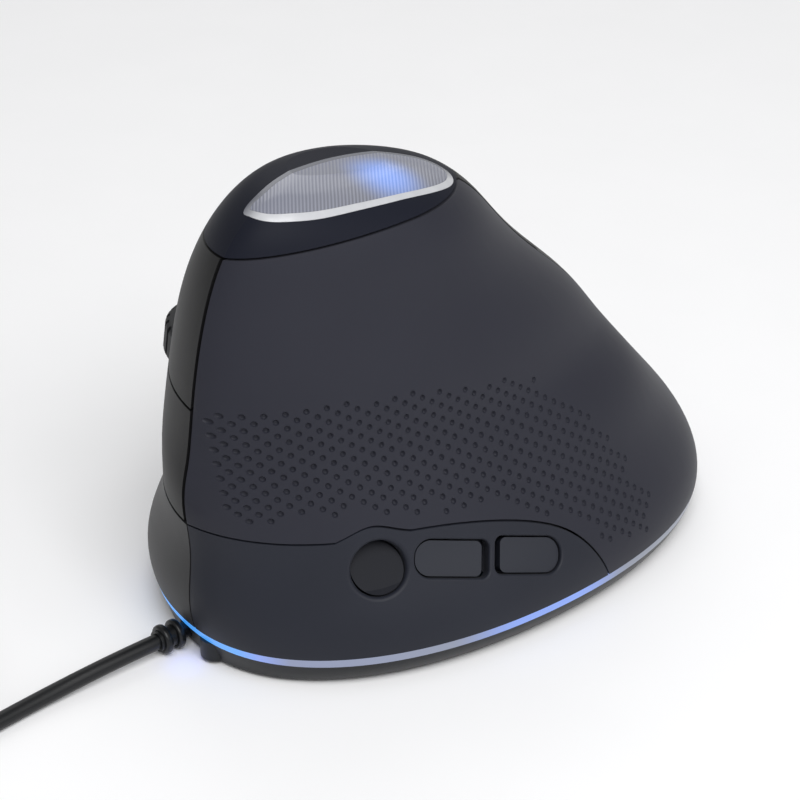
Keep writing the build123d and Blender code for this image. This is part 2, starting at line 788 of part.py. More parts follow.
def button_lug(pin, wall_form):
    """Lug from a pin out to the finger side, trimmed to the body."""
    with BuildPart() as lug:
        with BuildSketch(Plane.XY.offset(pin.Z - lug_height / 2)):
            with Locations((pin.X, pin.Y)):
                Circle(lug_radius)
                Rectangle(wide, 2 * lug_radius, align=(Align.MIN, Align.CENTER))
        extrude(amount=lug_height)
        add(wall_form, mode=Mode.INTERSECT)
        with BuildSketch(Plane.XY.offset(pin.Z - lug_height)):
            with Locations((pin.X, pin.Y)):
                Circle(pin_radius + pin_clearance)
        extrude(amount=2 * lug_height, mode=Mode.SUBTRACT)
    return lug.part


def switch_rib(height):
    """Rib from the button's wall in to its switch plunger."""
    with BuildPart() as rib:
        with Locations((plunger_tip_x + rest_gap, switch_y, height)):
            Box(wide, rib_width, rib_width, align=(Align.MIN, Align.CENTER, Align.CENTER))
    return rib.part & outer_form


# Index button: the upper plate, hinged at its rear
index_points = (
    side_points(split_shares[:-1], 0, button_gap / 2)
    + side_points(index_rear_shares, button_gap / 2, button_gap / 2)
    + [(-long, high), (long, high)]
)
with BuildPart() as index_button:
    add(shell_form)
    add(side_prism(index_points, seam_x + nose_gap, wide), mode=Mode.INTERSECT)
    add(cap_cut, mode=Mode.SUBTRACT)
    add(button_lug(index_pin, outer_form))
    add(switch_rib(index_switch_z))
    add(wheel_slot.part, mode=Mode.SUBTRACT)
index_button.part.label = "index_button"
export_step(index_button.part, "parts/index_button.step")

# Middle button: the plate under it, down to the skirt
middle_points = (
    side_points(split_shares, 0, -button_gap / 2)
    + side_points([panel_corner], button_gap / 2, button_gap)
    + side_points(reversed(skirt_top_shares[:3]), 0, button_gap)
)
middle_region = side_prism(middle_points, seam_x + nose_gap, wide)
with BuildPart() as behind_rear_edge:
    with BuildSketch(Plane.XY):
        with Locations((0, rear_edge + button_gap / 2)):
            Rectangle(2 * wide, long, align=(Align.CENTER, Align.MAX))
    extrude(amount=high)
with BuildPart() as middle_button:
    add(shell_form)
    add(middle_region, mode=Mode.INTERSECT)
    add(behind_rear_edge.part, mode=Mode.SUBTRACT)
    add(button_lug(middle_pin, outer_form))
    add(switch_rib(middle_switch_z))
    add(wheel_slot.part, mode=Mode.SUBTRACT)
middle_button.part.label = "middle_button"
export_step(middle_button.part, "parts/middle_button.step")

# Hinge pins of the two main buttons, held in arms of the frame
pin_length = lug_height + 2 * (lug_gap + arm_thickness)
for pin_name, pin in (("index_hinge_pin", index_pin), ("middle_hinge_pin", middle_pin)):
    with BuildPart() as hinge_pin:
        with BuildSketch(Plane.XY.offset(pin.Z - pin_length / 2)):
            with Locations((pin.X, pin.Y)):
                Circle(pin_radius)
        extrude(amount=pin_length)
    hinge_pin.part.label = pin_name
    export_step(hinge_pin.part, "parts/" + pin_name + ".step")

# Top cap: the slanted crown with a pocket for the lens
with BuildPart() as top_cap:
    add(shell_form)
    add(cap_region, mode=Mode.INTERSECT)
    add(lens_prism(bezel_width + pin_clearance, 0, high), mode=Mode.SUBTRACT)
top_cap.part.label = "top_cap"
export_step(top_cap.part, "parts/top_cap.step")

# Lens bezel: the bright rim that holds the lens
bezel_floor = outer_form.moved(Location((0, 0, -bezel_depth)))
with BuildPart() as lens_bezel:
    add(lens_prism(bezel_width, 0, high))
    add(outer_form, mode=Mode.INTERSECT)
    add(cap_region, mode=Mode.INTERSECT)
    add(lens_prism(0, 0, high), mode=Mode.SUBTRACT)
    add(bezel_floor, mode=Mode.SUBTRACT)
lens_bezel.part.label = "lens_bezel"
export_step(lens_bezel.part, "parts/lens_bezel.step")

# Top lens: the clear crown over the lamps
lens_floor = outer_form.moved(Location((0, 0, -lens_thickness)))
with BuildPart() as top_lens:
    add(lens_prism(-pin_clearance, 0, high))
    add(outer_form, mode=Mode.INTERSECT)
    add(cap_region, mode=Mode.INTERSECT)
    add(lens_floor, mode=Mode.SUBTRACT)
top_lens.part.label = "top_lens"
export_step(top_lens.part, "parts/top_lens.step")

# Light well: the white wall between the lamp board and the lens
shelf_z = led_shelf_share * body_height
well_floor = shelf_z + led_board_thickness
well_ceiling = outer_form.moved(Location((0, 0, -lens_thickness - rest_gap)))
with BuildPart() as light_well:
    add(lens_prism(-hole_clearance, well_floor, high))
    add(lens_prism(-hole_clearance - well_wall, 0, high), mode=Mode.SUBTRACT)
    add(well_ceiling, mode=Mode.INTERSECT)
    add(core_form, mode=Mode.INTERSECT)
light_well.part.label = "light_well"
export_step(light_well.part, "parts/light_well.step")

with BuildPart() as lamp_board:
    add(lens_prism(-hole_clearance, shelf_z, well_floor))
lamp_board.part.label = "lamp_board"
export_step(lamp_board.part, "parts/lamp_board.step")

with BuildPart() as top_lamps:
    for x_share, y_share in top_led_shares:
        with Locations((x_share * half_width, y_share * half_length, well_floor)):
            Box(
                top_led_size,
                top_led_size,
                top_led_height,
                align=(Align.CENTER, Align.CENTER, Align.MIN),
            )
top_lamps.part.label = "top_lamps"
export_step(top_lamps.part, "parts/top_lamps.step")

# Main board on the base's posts
board_y = board_centre_share * half_length
with BuildPart() as main_board:
    with BuildSketch(Plane.XY.offset(board_height)):
        with Locations((0, board_y)):
            RectangleRounded(board_width, board_length, radius=board_corner)
        with Locations(*board_posts):
            Circle(board_screw_radius + pin_clearance, mode=Mode.SUBTRACT)
        with Locations((0, sensor_y)):
            Rectangle(sensor_window[0] / 2, sensor_window[1] / 2, mode=Mode.SUBTRACT)
    extrude(amount=board_thickness)
main_board.part.label = "main_board"
export_step(main_board.part, "parts/main_board.step")

board_top = board_height + board_thickness
with BuildPart() as board_screws:
    with BuildSketch(Plane.XY.offset(board_top - board_screw_length + board_thickness)):
        with Locations(*board_posts):
            Circle(board_screw_radius)
    extrude(amount=board_screw_length - board_thickness)
    with BuildSketch(Plane.XY.offset(board_top)):
        with Locations(*board_posts):
            Circle(board_screw_head)
    extrude(amount=board_screw_head_height)
board_screws.part.label = "board_screws"
export_step(board_screws.part, "parts/board_screws.step")

with BuildPart() as motion_sensor:
    with Locations((0, sensor_y, board_top)):
        Box(*sensor_size, align=(Align.CENTER, Align.CENTER, Align.MIN))
motion_sensor.part.label = "motion_sensor"
export_step(motion_sensor.part, "parts/motion_sensor.step")

# Sensor lens: a clear block between the floor window and the board
with BuildPart() as sensor_lens:
    with BuildSketch(Plane.XY.offset(floor_top)):
        with Locations((0, sensor_y)):
            RectangleRounded(*sensor_lens_size, radius=sensor_window[1] / 4)
    extrude(amount=board_height - floor_top)
    with BuildSketch(Plane.XY.offset(floor_top - floor_thickness / 2)):
        with Locations((0, sensor_y)):
            RectangleRounded(
                sensor_window[0] - 2 * hole_clearance,
                sensor_window[1] - 2 * hole_clearance,
                radius=sensor_window[1] / 6,
            )
    extrude(amount=floor_thickness / 2)
sensor_lens.part.label = "sensor_lens"
export_step(sensor_lens.part, "parts/sensor_lens.step")

with BuildPart() as controller_chip:
    with Locations((chip_shares[0] * half_width, chip_shares[1] * half_length, board_top)):
        Box(*chip_size, align=(Align.CENTER, Align.CENTER, Align.MIN))
controller_chip.part.label = "controller_chip"
export_step(controller_chip.part, "parts/controller_chip.step")

# Button board with its wheel cut-out, and the two main switches
board_back_x = board_face_x - board_thickness
with BuildPart() as button_board:
    add(side_prism(side_points(button_board_shares), board_back_x, board_face_x))
button_board.part.label = "button_board"
export_step(button_board.part, "parts/button_board.step")

for switch_name, switch_z in (("index", index_switch_z), ("middle", middle_switch_z)):
    with BuildPart() as switch_body:
        with Locations((board_face_x, switch_y, switch_z)):
            Box(*switch_size, align=(Align.MIN, Align.CENTER, Align.CENTER))
        with BuildSketch(Plane.YZ.offset(switch_top_x - plunger_depth - travel_room)):
            with Locations((switch_y, switch_z)):
                Circle(plunger_radius + pin_clearance)
        extrude(amount=switch_size[0], mode=Mode.SUBTRACT)
    switch_body.part.label = switch_name + "_switch"
    export_step(switch_body.part, "parts/" + switch_name + "_switch.step")

    with BuildPart() as switch_plunger:
        with BuildSketch(Plane.YZ.offset(switch_top_x - plunger_depth)):
            with Locations((switch_y, switch_z)):
                Circle(plunger_radius)
        extrude(amount=plunger_depth + plunger_rise)
    switch_plunger.part.label = switch_name + "_plunger"
    export_step(switch_plunger.part, "parts/" + switch_name + "_plunger.step")

# Ribbon lead from the main board up the back of the button board
ribbon_y = ribbon_y_share * half_length
ribbon_top = button_board_shares[2][1] * body_height
with BuildPart() as ribbon_lead:
    with Locations((board_back_x, ribbon_y, board_top)):
        Box(
            ribbon_thickness,
            ribbon_width,
            ribbon_top - board_top,
            align=(Align.MAX, Align.CENTER, Align.MIN),
        )
ribbon_lead.part.label = "ribbon_lead"
export_step(ribbon_lead.part, "parts/ribbon_lead.step")

# Scroll wheel: ribbed tyre, hub and axle
tyre_inner = wheel_radius - tyre_depth
with BuildPart() as scroll_tyre:
    with BuildSketch(wheel_plane.offset(-wheel_width / 2)):
        Circle(wheel_radius)
        Circle(tyre_inner, mode=Mode.SUBTRACT)
    extrude(amount=wheel_width)
    fillet(scroll_tyre.edges().filter_by(GeomType.CIRCLE).sort_by(SortBy.RADIUS)[-2:], radius=tyre_depth / 2)
    with BuildSketch(wheel_plane.offset(-wheel_width)):
        with PolarLocations(wheel_radius, tyre_grooves):
            Rectangle(2 * groove_depth, groove_width)
    extrude(amount=2 * wheel_width, mode=Mode.SUBTRACT)
scroll_tyre.part.label = "scroll_tyre"
export_step(scroll_tyre.part, "parts/scroll_tyre.step")

with BuildPart() as scroll_hub:
    with BuildSketch(wheel_plane.offset(-wheel_width / 2)):
        Circle(tyre_inner)
    extrude(amount=wheel_width)
    with BuildSketch(wheel_plane.offset(-hub_width / 2)):
        Circle(hub_radius)
    extrude(amount=hub_width)
    with BuildSketch(wheel_plane.offset(-hub_width)):
        Circle(axle_radius)
    extrude(amount=2 * hub_width, mode=Mode.SUBTRACT)
scroll_hub.part.label = "scroll_hub"
export_step(scroll_hub.part, "parts/scroll_hub.step")

with BuildPart() as scroll_axle:
    with BuildSketch(wheel_plane.offset(axle_offset - (axle_length + axle_offset) / 2 + axle_offset / 2)):
        Circle(axle_radius)
    extrude(amount=axle_length + axle_offset)
scroll_axle.part.label = "scroll_axle"
export_step(scroll_axle.part, "parts/scroll_axle.step")

# Yoke: two arms and a back plate that slides on the guide rods
arm_inner = hub_width / 2 + yoke_gap
arm_outer = arm_inner + yoke_arm
plate_front = -wheel_radius - yoke_back
plate_back = plate_front - yoke_plate
with BuildPart() as scroll_yoke:
    for level in (arm_inner, -arm_outer):
        with BuildSketch(wheel_plane.offset(level)):
            with Locations((yoke_reach, 0)):
                Rectangle(yoke_reach - plate_back, yoke_width, align=(Align.MAX, Align.CENTER))
            Circle(axle_radius + pin_clearance, mode=Mode.SUBTRACT)
        extrude(amount=yoke_arm)
    with BuildSketch(wheel_plane.offset(-arm_outer)):
        with Locations((plate_front, 0)):
            Rectangle(yoke_plate, yoke_plate_width, align=(Align.MAX, Align.CENTER))
    extrude(amount=2 * arm_outer)
    guide_face = Plane(
        origin=wheel_plane.from_local_coords(Vector(plate_back, 0, 0)),
        x_dir=wheel_plane.y_dir,
        z_dir=wheel_plane.x_dir,
    )
    with BuildSketch(guide_face):
        with Locations((-guide_spacing / 2, 0), (guide_spacing / 2, 0)):
            Circle(guide_radius + pin_clearance)
    extrude(amount=yoke_plate, mode=Mode.SUBTRACT)
scroll_yoke.part.label = "scroll_yoke"
export_step(scroll_yoke.part, "parts/scroll_yoke.step")

with BuildPart() as scroll_encoder:
    with BuildSketch(wheel_plane.offset(arm_outer)):
        with Locations((-encoder_size[0] / 8, 0)):
            Rectangle(encoder_size[0], encoder_size[1])
        Circle(axle_radius + pin_clearance, mode=Mode.SUBTRACT)
    extrude(amount=encoder_size[2])
scroll_encoder.part.label = "scroll_encoder"
export_step(scroll_encoder.part, "parts/scroll_encoder.step")

# Click switch behind the yoke
mount_front = plate_back - mount_gap
click_face = Plane(
    origin=wheel_plane.from_local_coords(Vector(mount_front, 0, 0)),
    x_dir=wheel_plane.y_dir,
    z_dir=wheel_plane.x_dir,
)
with BuildPart() as click_switch:
    with BuildSketch(click_face):
        Rectangle(click_switch_size, click_switch_size)
    extrude(amount=click_switch_height)
    with BuildSketch(click_face.offset(click_switch_height - click_plunger_depth - travel_room)):
        Circle(click_plunger_radius + pin_clearance)
    extrude(amount=click_switch_height, mode=Mode.SUBTRACT)
click_switch.part.label = "click_switch"
export_step(click_switch.part, "parts/click_switch.step")

with BuildPart() as click_plunger:
    with BuildSketch(click_face.offset(click_switch_height - click_plunger_depth)):
        Circle(click_plunger_radius)
    extrude(amount=mount_gap - click_switch_height + click_plunger_depth - rest_gap)
click_plunger.part.label = "click_plunger"
export_step(click_plunger.part, "parts/click_plunger.step")

# Inner frame: spine, floor plate, posts, hinge arms, wheel mount and board arms
spine_left = seam_x + spine_offset
spine_right = spine_left + spine_thickness
spine_line = side_points(spine_shares)
spine_line[0] = (spine_line[0][0], frame_floor)
spine_line[-1] = (spine_line[-1][0], frame_floor)
with BuildPart() as thumb_arms:
    for arm_share in thumb_arm_shares:
        with Locations((-frame_half_width + overrun, arm_share * half_length, frame_floor)):
            Box(
                thumb_arm_reach_share * half_width + overrun,
                thumb_arm_width,
                thumb_arm_height,
                align=(Align.MAX, Align.CENTER, Align.MIN),
            )
    with BuildSketch(thumb_plane.offset(-switch_base - board_thickness)):
        Rectangle(2 * half_width, half_width)
    extrude(amount=half_width, mode=Mode.SUBTRACT)

mount_reach = (click_face.origin.X - spine_right) / abs(click_face.x_dir.X) + mount_bite
with BuildPart() as inner_frame:
    add(side_prism(spine_line, spine_left, spine_right))
    with BuildSketch(Plane.YZ.offset(spine_left)):
        for window_share, window_size in zip(spine_window_shares, spine_window_sizes):
            with Locations(*side_points([window_share])):
                RectangleRounded(*window_size, radius=standoff_radius)
    extrude(amount=spine_thickness, mode=Mode.SUBTRACT)
    with BuildSketch(Plane.XY.offset(frame_floor)):
        with Locations((0, (frame_front_share + frame_rear_share) / 2 * half_length)):
            RectangleRounded(
                2 * frame_half_width,
                (frame_front_share - frame_rear_share) * half_length,
                radius=frame_corner,
            )
        with Locations((0, board_y)):
            RectangleRounded(frame_window_width, frame_window_length, radius=frame_corner, mode=Mode.SUBTRACT)
        with Locations(((spine_left + spine_right) / 2, board_y)):
            Rectangle(spine_thickness, frame_window_length + overrun)
    extrude(amount=frame_plate)
    with BuildSketch(Plane.XY.offset(floor_top)):
        with Locations(*frame_posts):
            Circle(frame_post_radius)
    extrude(amount=frame_floor - floor_top + frame_plate)
    with BuildSketch(Plane.XY.offset(floor_top)):
        with Locations(*frame_posts):
            Circle(frame_screw_radius + pin_clearance)
    extrude(amount=frame_floor, mode=Mode.SUBTRACT)
    for pin in (index_pin, middle_pin):
        for side in (-1, 1):
            arm_centre = pin.Z + side * (lug_height / 2 + lug_gap + arm_thickness / 2)
            with BuildSketch(Plane.XY.offset(arm_centre - arm_thickness / 2)):
                with Locations((spine_left, pin.Y)):
                    Rectangle(pin.X - spine_left, arm_width, align=(Align.MIN, Align.CENTER))
                with Locations((pin.X, pin.Y)):
                    Circle(arm_width / 2)
                    Circle(pin_radius, mode=Mode.SUBTRACT)
            extrude(amount=arm_thickness)
    with BuildSketch(Plane.YZ.offset(spine_right)):
        with Locations(*side_points(standoff_shares)):
            Circle(standoff_radius)
    extrude(amount=board_back_x - spine_right)
    with BuildSketch(click_face):
        with Locations(((mount_reach - mount_side) / 2, 0)):
            Rectangle(mount_reach + mount_side, mount_height)
    extrude(amount=-mount_plate)
    with BuildSketch(click_face):
        with Locations((-guide_spacing / 2, 0), (guide_spacing / 2, 0)):
            Circle(guide_radius)
    extrude(amount=mount_gap + yoke_plate + guide_radius / 2)
    add(thumb_arms.part)
inner_frame.part.label = "inner_frame"
export_step(inner_frame.part, "parts/inner_frame.step")

# Screws from under the base into the frame's posts
with BuildPart() as base_screws:
    with BuildSketch(Plane.XY.offset(base_bottom + floor_thickness / 2)):
        with Locations(*frame_posts):
            Circle(frame_screw_radius)
    extrude(amount=frame_screw_length)
    with BuildSketch(Plane.XY.offset(base_bottom + floor_thickness / 2 - frame_screw_head_height / 2)):
        with Locations(*frame_posts):
            Circle(frame_screw_head)
    extrude(amount=frame_screw_head_height / 2)
base_screws.part.label = "base_screws"
export_step(base_screws.part, "parts/base_screws.step")

# Cord header on the main board and the lead from it to the gland
header_y = header_y_share * half_length
with BuildPart() as cord_header:
    with Locations((cable_x, header_y, board_top)):
        Box(*header_size, align=(Align.CENTER, Align.CENTER, Align.MIN))
cord_header.part.label = "cord_header"
export_step(cord_header.part, "parts/cord_header.step")

gland_inner_y = base_nose_y - gland_inner
lead_low_z = gland_height + lead_rise
lead_high_z = board_top + lead_diameter
header_front_y = header_y + header_size[1] / 2
lead_run = (gland_inner_y - header_front_y) / 3
with BuildPart() as inner_lead:
    with BuildLine() as lead_path:
        FilletPolyline(
            (cable_x, gland_inner_y, lead_low_z),
            (cable_x, gland_inner_y - lead_run, lead_low_z),
            (cable_x, header_front_y + lead_run, lead_high_z),
            (cable_x, header_front_y, lead_high_z),
            radius=[lead_bend, lead_bend],
        )
    with BuildSketch(Plane(origin=lead_path.line @ 0, z_dir=lead_path.line % 0)):
        Circle(lead_diameter / 2)
    sweep()
inner_lead.part.label = "inner_lead"
export_step(inner_lead.part, "parts/inner_lead.step")

# Cord gland: flange inside, neck in the base's notch, ribbed sleeve outside
with BuildPart() as cord_gland:
    with BuildSketch(Plane.XZ.offset(-gland_inner_y)):
        with Locations((cable_x, gland_height)):
            Circle(gland_flange)
    extrude(amount=-gland_flange_length)
    with BuildSketch(Plane.XY):
        with Locations((cable_x, gland_inner_y)):
            Rectangle(4 * gland_flange, 4 * gland_flange)
    extrude(amount=floor_top + rest_gap, mode=Mode.SUBTRACT)
    with BuildSketch(Plane.XZ.offset(-gland_inner_y)):
        with Locations((cable_x, gland_height)):
            Circle(gland_neck - pin_clearance)
    extrude(amount=gland_inner_y - gland_end_y)
    sleeve_start = base_nose_y + gland_root
    with BuildSketch(Plane.XZ.offset(-sleeve_start)):
        with Locations((cable_x, gland_height)):
            Circle(gland_radius)
    extrude(amount=-gland_length)
    for index in range(gland_ribs):
        rib_start = sleeve_start + index * gland_rib_pitch
        with BuildSketch(Plane.XZ.offset(-rib_start)):
            with Locations((cable_x, gland_height)):
                Circle(gland_rib)
        extrude(amount=-gland_rib_length)
    rib_rims = [edge for edge in cord_gland.edges().filter_by(GeomType.CIRCLE) if edge.radius > gland_flange]
    fillet(rib_rims, radius=gland_rib_round)
cord_gland.part.label = "cord_gland"
export_step(cord_gland.part, "parts/cord_gland.step")

# Coil: two layers of a flat spiral, wound clockwise, in to the middle and out again above
half_turns = coil_turns / 2


def coil_place(turn):
    """Place on the coil after a number of turns from its start."""
    from_middle = abs(turn - half_turns)
    radius = coil_least_radius + coil_pitch * from_middle
    climb = min(max((turn - half_turns) * 2 + 0.5, 0), 1)
    angle = math.pi - 2 * math.pi * turn
    return Vector(
        coil_centre[0] + radius * math.cos(angle),
        coil_centre[1] + radius * math.sin(angle),
        cable_radius + coil_layer * climb,
    )


def coil_heading(turn):
    """Direction of the coil at a place, from the places just before and after it."""
    step = 0.01
    before = max(turn - step, 0)
    after = min(turn + step, coil_turns)
    return (coil_place(after) - coil_place(before)).normalized()


def biarc_joint(start, start_heading, end, end_heading):
    """Where two tangent arcs between two headed places meet."""
    chord = end - start
    both = start_heading + end_heading
    spread = 2 * (1 - start_heading.dot(end_heading))
    lean = chord.dot(both)
    reach = (-lean + math.sqrt(lean * lean + spread * chord.dot(chord))) / spread
    return (start + start_heading * reach + end - end_heading * reach) / 2


quarter_turns = [0.25 * index for index in range(round(4 * coil_turns) + 1)]
coil_knots = [coil_place(turn) for turn in quarter_turns]
coil_headings = [coil_heading(turn) for turn in quarter_turns]
flat_start = Vector(coil_headings[0].X, coil_headings[0].Y, 0).normalized()
flat_end = Vector(coil_headings[-1].X, coil_headings[-1].Y, 0).normalized()
coil_headings[0] = flat_start
coil_headings[-1] = flat_end
coil_entry = coil_knots[0] - flat_start * cable_diameter
coil_exit = coil_knots[-1] + flat_end * coil_tail
with BuildPart() as cord_coil:
    with BuildLine() as coil_path:
        Line(coil_entry, coil_knots[0])
        for place, heading, goal, goal_heading in zip(
            coil_knots, coil_headings, coil_knots[1:], coil_headings[1:]
        ):
            joint = biarc_joint(place, heading, goal, goal_heading)
            first_arc = TangentArc(place, joint, tangent=heading)
            TangentArc(joint, goal, tangent=first_arc % 1)
        Line(coil_knots[-1], coil_exit)
    with BuildSketch(Plane(origin=coil_entry, z_dir=flat_start)):
        Circle(cable_radius)
    sweep()
cord_coil.part.label = "cord_coil"
export_step(cord_coil.part, "parts/cord_coil.step")

coil_length = coil_path.wires()[0].length
samples = [coil_place(0.02 * index) for index in range(int(50 * coil_turns) + 1)]
least_gap = min(
    (samples[i] - samples[j]).length
    for i in range(len(samples))
    for j in range(i + 25, len(samples))
) - cable_diameter
coil_section = math.pi * cable_radius**2
print("coil length", round(coil_length, 1), "least gap to itself", round(least_gap, 2))
print("coil volume", round(cord_coil.part.volume, 1), "section times length", round(coil_section * coil_length, 1))

# Cord along the surface, from the gland to the coil
entry_lead = coil_entry - flat_start * entry_run
cord_points = [
    Vector(cable_x, gland_end_y, gland_height),
    Vector(cable_x, gland_end_y + gland_run, gland_height),
    Vector(*cord_bend),
    entry_lead,
    coil_entry,
]
cord_radii = []
for before, here, after in zip(cord_points, cord_points[1:], cord_points[2:]):
    turn = math.radians((here - before).get_angle(after - here))
    shorter = min((here - before).length, (after - here).length)
    cord_radii.append(0.45 * shorter / math.tan(turn / 2))
print("cord radii", [round(radius, 1) for radius in cord_radii])
with BuildPart() as cord_tube:
    with BuildLine() as cord_path:
        FilletPolyline(*cord_points, radius=cord_radii)
    with BuildSketch(Plane(origin=cord_path.line @ 0, z_dir=cord_path.line % 0)):
        Circle(cable_radius)
    sweep()
cord_tube.part.label = "cord_tube"
export_step(cord_tube.part, "parts/cord_tube.step")
cord_length = cord_path.wires()[0].length
print("cord tube length", round(cord_length, 1), "total", round(cord_length + coil_length, 1))
print("tube volume", round(cord_tube.part.volume, 1), "section times length", round(coil_section * cord_length, 1))

# Plug: moulded grip, metal shell and contact tongue
plug_plane = Plane(origin=coil_exit, x_dir=flat_end.cross(Vector(0, 0, 1)), z_dir=flat_end)
with BuildPart() as plug_grip:
    with BuildSketch(plug_plane):
        Circle(plug_tail_radius)
    extrude(amount=plug_tail_length)
    with BuildSketch(plug_plane.offset(plug_tail_length)):
        RectangleRounded(plug_body_size[0], plug_body_size[1], radius=plug_corner)
    extrude(amount=plug_body_size[2])
plug_grip.part.label = "plug_grip"
export_step(plug_grip.part, "parts/plug_grip.step")

shell_plane = plug_plane.offset(plug_tail_length + plug_body_size[2])
with BuildPart() as plug_shell:
    with BuildSketch(shell_plane):
        RectangleRounded(plug_shell_size[0], plug_shell_size[1], radius=2 * plug_shell_wall)
        RectangleRounded(
            plug_shell_size[0] - 2 * plug_shell_wall,
            plug_shell_size[1] - 2 * plug_shell_wall,
            radius=plug_shell_wall,
            mode=Mode.SUBTRACT,
        )
    extrude(amount=plug_shell_size[2])
plug_shell.part.label = "plug_shell"
export_step(plug_shell.part, "parts/plug_shell.step")

tongue_top = plug_tongue_shift + plug_tongue_size[1] / 2
with BuildPart() as plug_tongue:
    with BuildSketch(shell_plane):
        with Locations((0, plug_tongue_shift)):
            Rectangle(plug_tongue_size[0], plug_tongue_size[1])
    extrude(amount=plug_tongue_size[2])
plug_tongue.part.label = "plug_tongue"
export_step(plug_tongue.part, "parts/plug_tongue.step")

with BuildPart() as plug_contacts:
    with BuildSketch(shell_plane):
        for index in range(contact_count):
            across = (index - (contact_count - 1) / 2) * contact_spacing
            with Locations((across, tongue_top - plug_tongue_size[1] - contact_size[1] / 2)):
                Rectangle(contact_size[0], contact_size[1])
    extrude(amount=contact_size[2])
plug_contacts.part.label = "plug_contacts"
export_step(plug_contacts.part, "parts/plug_contacts.step")
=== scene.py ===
# %% [markdown]
# # An upright mouse: soft-touch shell, clear lit crown and lit foot band
# The imported CAD model is the frame. Every length is in metres, +Y points to the nose,
# -X is the thumb side, +X the finger side and +Z is up. This first step loads the frame.

import math

import bmesh
import bpy
import numpy as np
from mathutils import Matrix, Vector
from mathutils.bvhtree import BVHTree
from mathutils.geometry import delaunay_2d_cdt


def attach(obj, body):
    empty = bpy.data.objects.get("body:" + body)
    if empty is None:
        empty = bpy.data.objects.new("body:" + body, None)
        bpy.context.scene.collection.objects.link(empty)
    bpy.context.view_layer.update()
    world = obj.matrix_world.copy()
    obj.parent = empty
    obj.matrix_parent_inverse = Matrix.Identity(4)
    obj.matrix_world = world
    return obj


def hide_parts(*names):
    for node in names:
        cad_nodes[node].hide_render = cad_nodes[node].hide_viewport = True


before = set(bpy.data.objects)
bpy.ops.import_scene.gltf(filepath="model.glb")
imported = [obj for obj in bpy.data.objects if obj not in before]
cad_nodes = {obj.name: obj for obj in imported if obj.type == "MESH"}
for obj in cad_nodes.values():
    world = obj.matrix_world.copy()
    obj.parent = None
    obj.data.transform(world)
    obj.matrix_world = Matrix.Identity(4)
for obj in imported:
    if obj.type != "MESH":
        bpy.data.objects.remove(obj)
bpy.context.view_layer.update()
MM = 0.001


# %% [markdown]
# Small helpers serve every later step. One turns an sRGB hex colour into the linear values
# that shaders use, one adds a shader node with its settings and links, and two open and close
# a material. One mixes two close tones by a noise, one gives CAD nodes their finish and one
# makes a mesh piece from points and faces.


# %% Colour, node and mesh helpers
def linear(hex_colour):
    """sRGB hex to linear RGBA: each channel c becomes ((c + 0.055) / 1.055) ** 2.4 above 0.04."""
    channels = [int(hex_colour[i : i + 2], 16) / 255 for i in (1, 3, 5)]
    return [c / 12.92 if c <= 0.04045 else ((c + 0.055) / 1.055) ** 2.4 for c in channels] + [1.0]


def add_node(tree, kind, sockets=None, **properties):
    """Adds a shader node. Sockets take a value, or another node's output to link."""
    made = tree.nodes.new("ShaderNode" + kind)
    for name, value in properties.items():
        setattr(made, name, value)
    for name, value in (sockets or {}).items():
        if isinstance(value, bpy.types.NodeSocket):
            tree.links.new(value, made.inputs[name])
        else:
            made.inputs[name].default_value = value
    return made


def new_material(name):
    """An empty node material with its output, and the tree to fill."""
    material = bpy.data.materials.new(name)
    material.use_nodes = True
    material.node_tree.nodes.clear()
    return material, material.node_tree


def close_material(tree, shader):
    """Links the last shader to the material's output."""
    add_node(tree, "OutputMaterial", {"Surface": shader})


def two_tone(tree, place, scale, dark, pale, detail=2.0):
    """A noise at one scale, and the colour that it mixes from two sRGB hex tones."""
    noise = add_node(tree, "TexNoise", {"Vector": place, "Scale": scale, "Detail": detail})
    colour = add_node(
        tree,
        "MixRGB",
        {"Fac": noise.outputs["Fac"], "Color1": linear(dark), "Color2": linear(pale)},
    )
    return noise.outputs["Fac"], colour.outputs["Color"]


def dress(material, *names):
    """Gives CAD nodes their finish."""
    for name in names:
        node = cad_nodes[name]
        node.data.materials.clear()
        node.data.materials.append(material)


def piece_from(name, points, faces, material, body):
    """A smooth mesh piece from arrays of points and faces that rides on a CAD body."""
    mesh = bpy.data.meshes.new(name)
    mesh.from_pydata(np.asarray(points).tolist(), [], [list(f) for f in faces])
    mesh.polygons.foreach_set("use_smooth", [True] * len(mesh.polygons))
    mesh.materials.append(material)
    made = bpy.data.objects.new(name, mesh)
    bpy.context.scene.collection.objects.link(made)
    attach(made, body)
    return made


print("helpers ready")

# %% [markdown]
# The photograph looks down at the thumb side and the nose from about 30 degrees up. The lens
# is long, so parallel edges stay nearly parallel. The picture's frame is shifted a little,
# because the mouse doesn't sit in its middle.

# %% Camera
IMAGE = 800
FOCAL_PIXELS = 2220
SENSOR = 36.0
FRAME_CENTRE = (410, 430)
AIM_POINT = (-14.6, 15.9, 35.0)
BACK_HEADING = (-0.6634, 0.5567, 0.5)
CAMERA_RANGE = 0.4
NEAR_CLIP = 0.01
aim = Vector(AIM_POINT) * MM
back = Vector(BACK_HEADING).normalized()
camera_data = bpy.data.cameras.new("photo_camera")
camera_data.sensor_width = SENSOR
camera_data.lens = SENSOR * FOCAL_PIXELS / IMAGE
camera_data.shift_x = -(FRAME_CENTRE[0] - IMAGE / 2) / IMAGE
camera_data.shift_y = (FRAME_CENTRE[1] - IMAGE / 2) / IMAGE
camera_data.clip_start = NEAR_CLIP
camera = bpy.data.objects.new("photo_camera", camera_data)
camera.location = aim + back * CAMERA_RANGE
camera.rotation_euler = back.to_track_quat("Z", "Y").to_euler()
bpy.context.scene.collection.objects.link(camera)
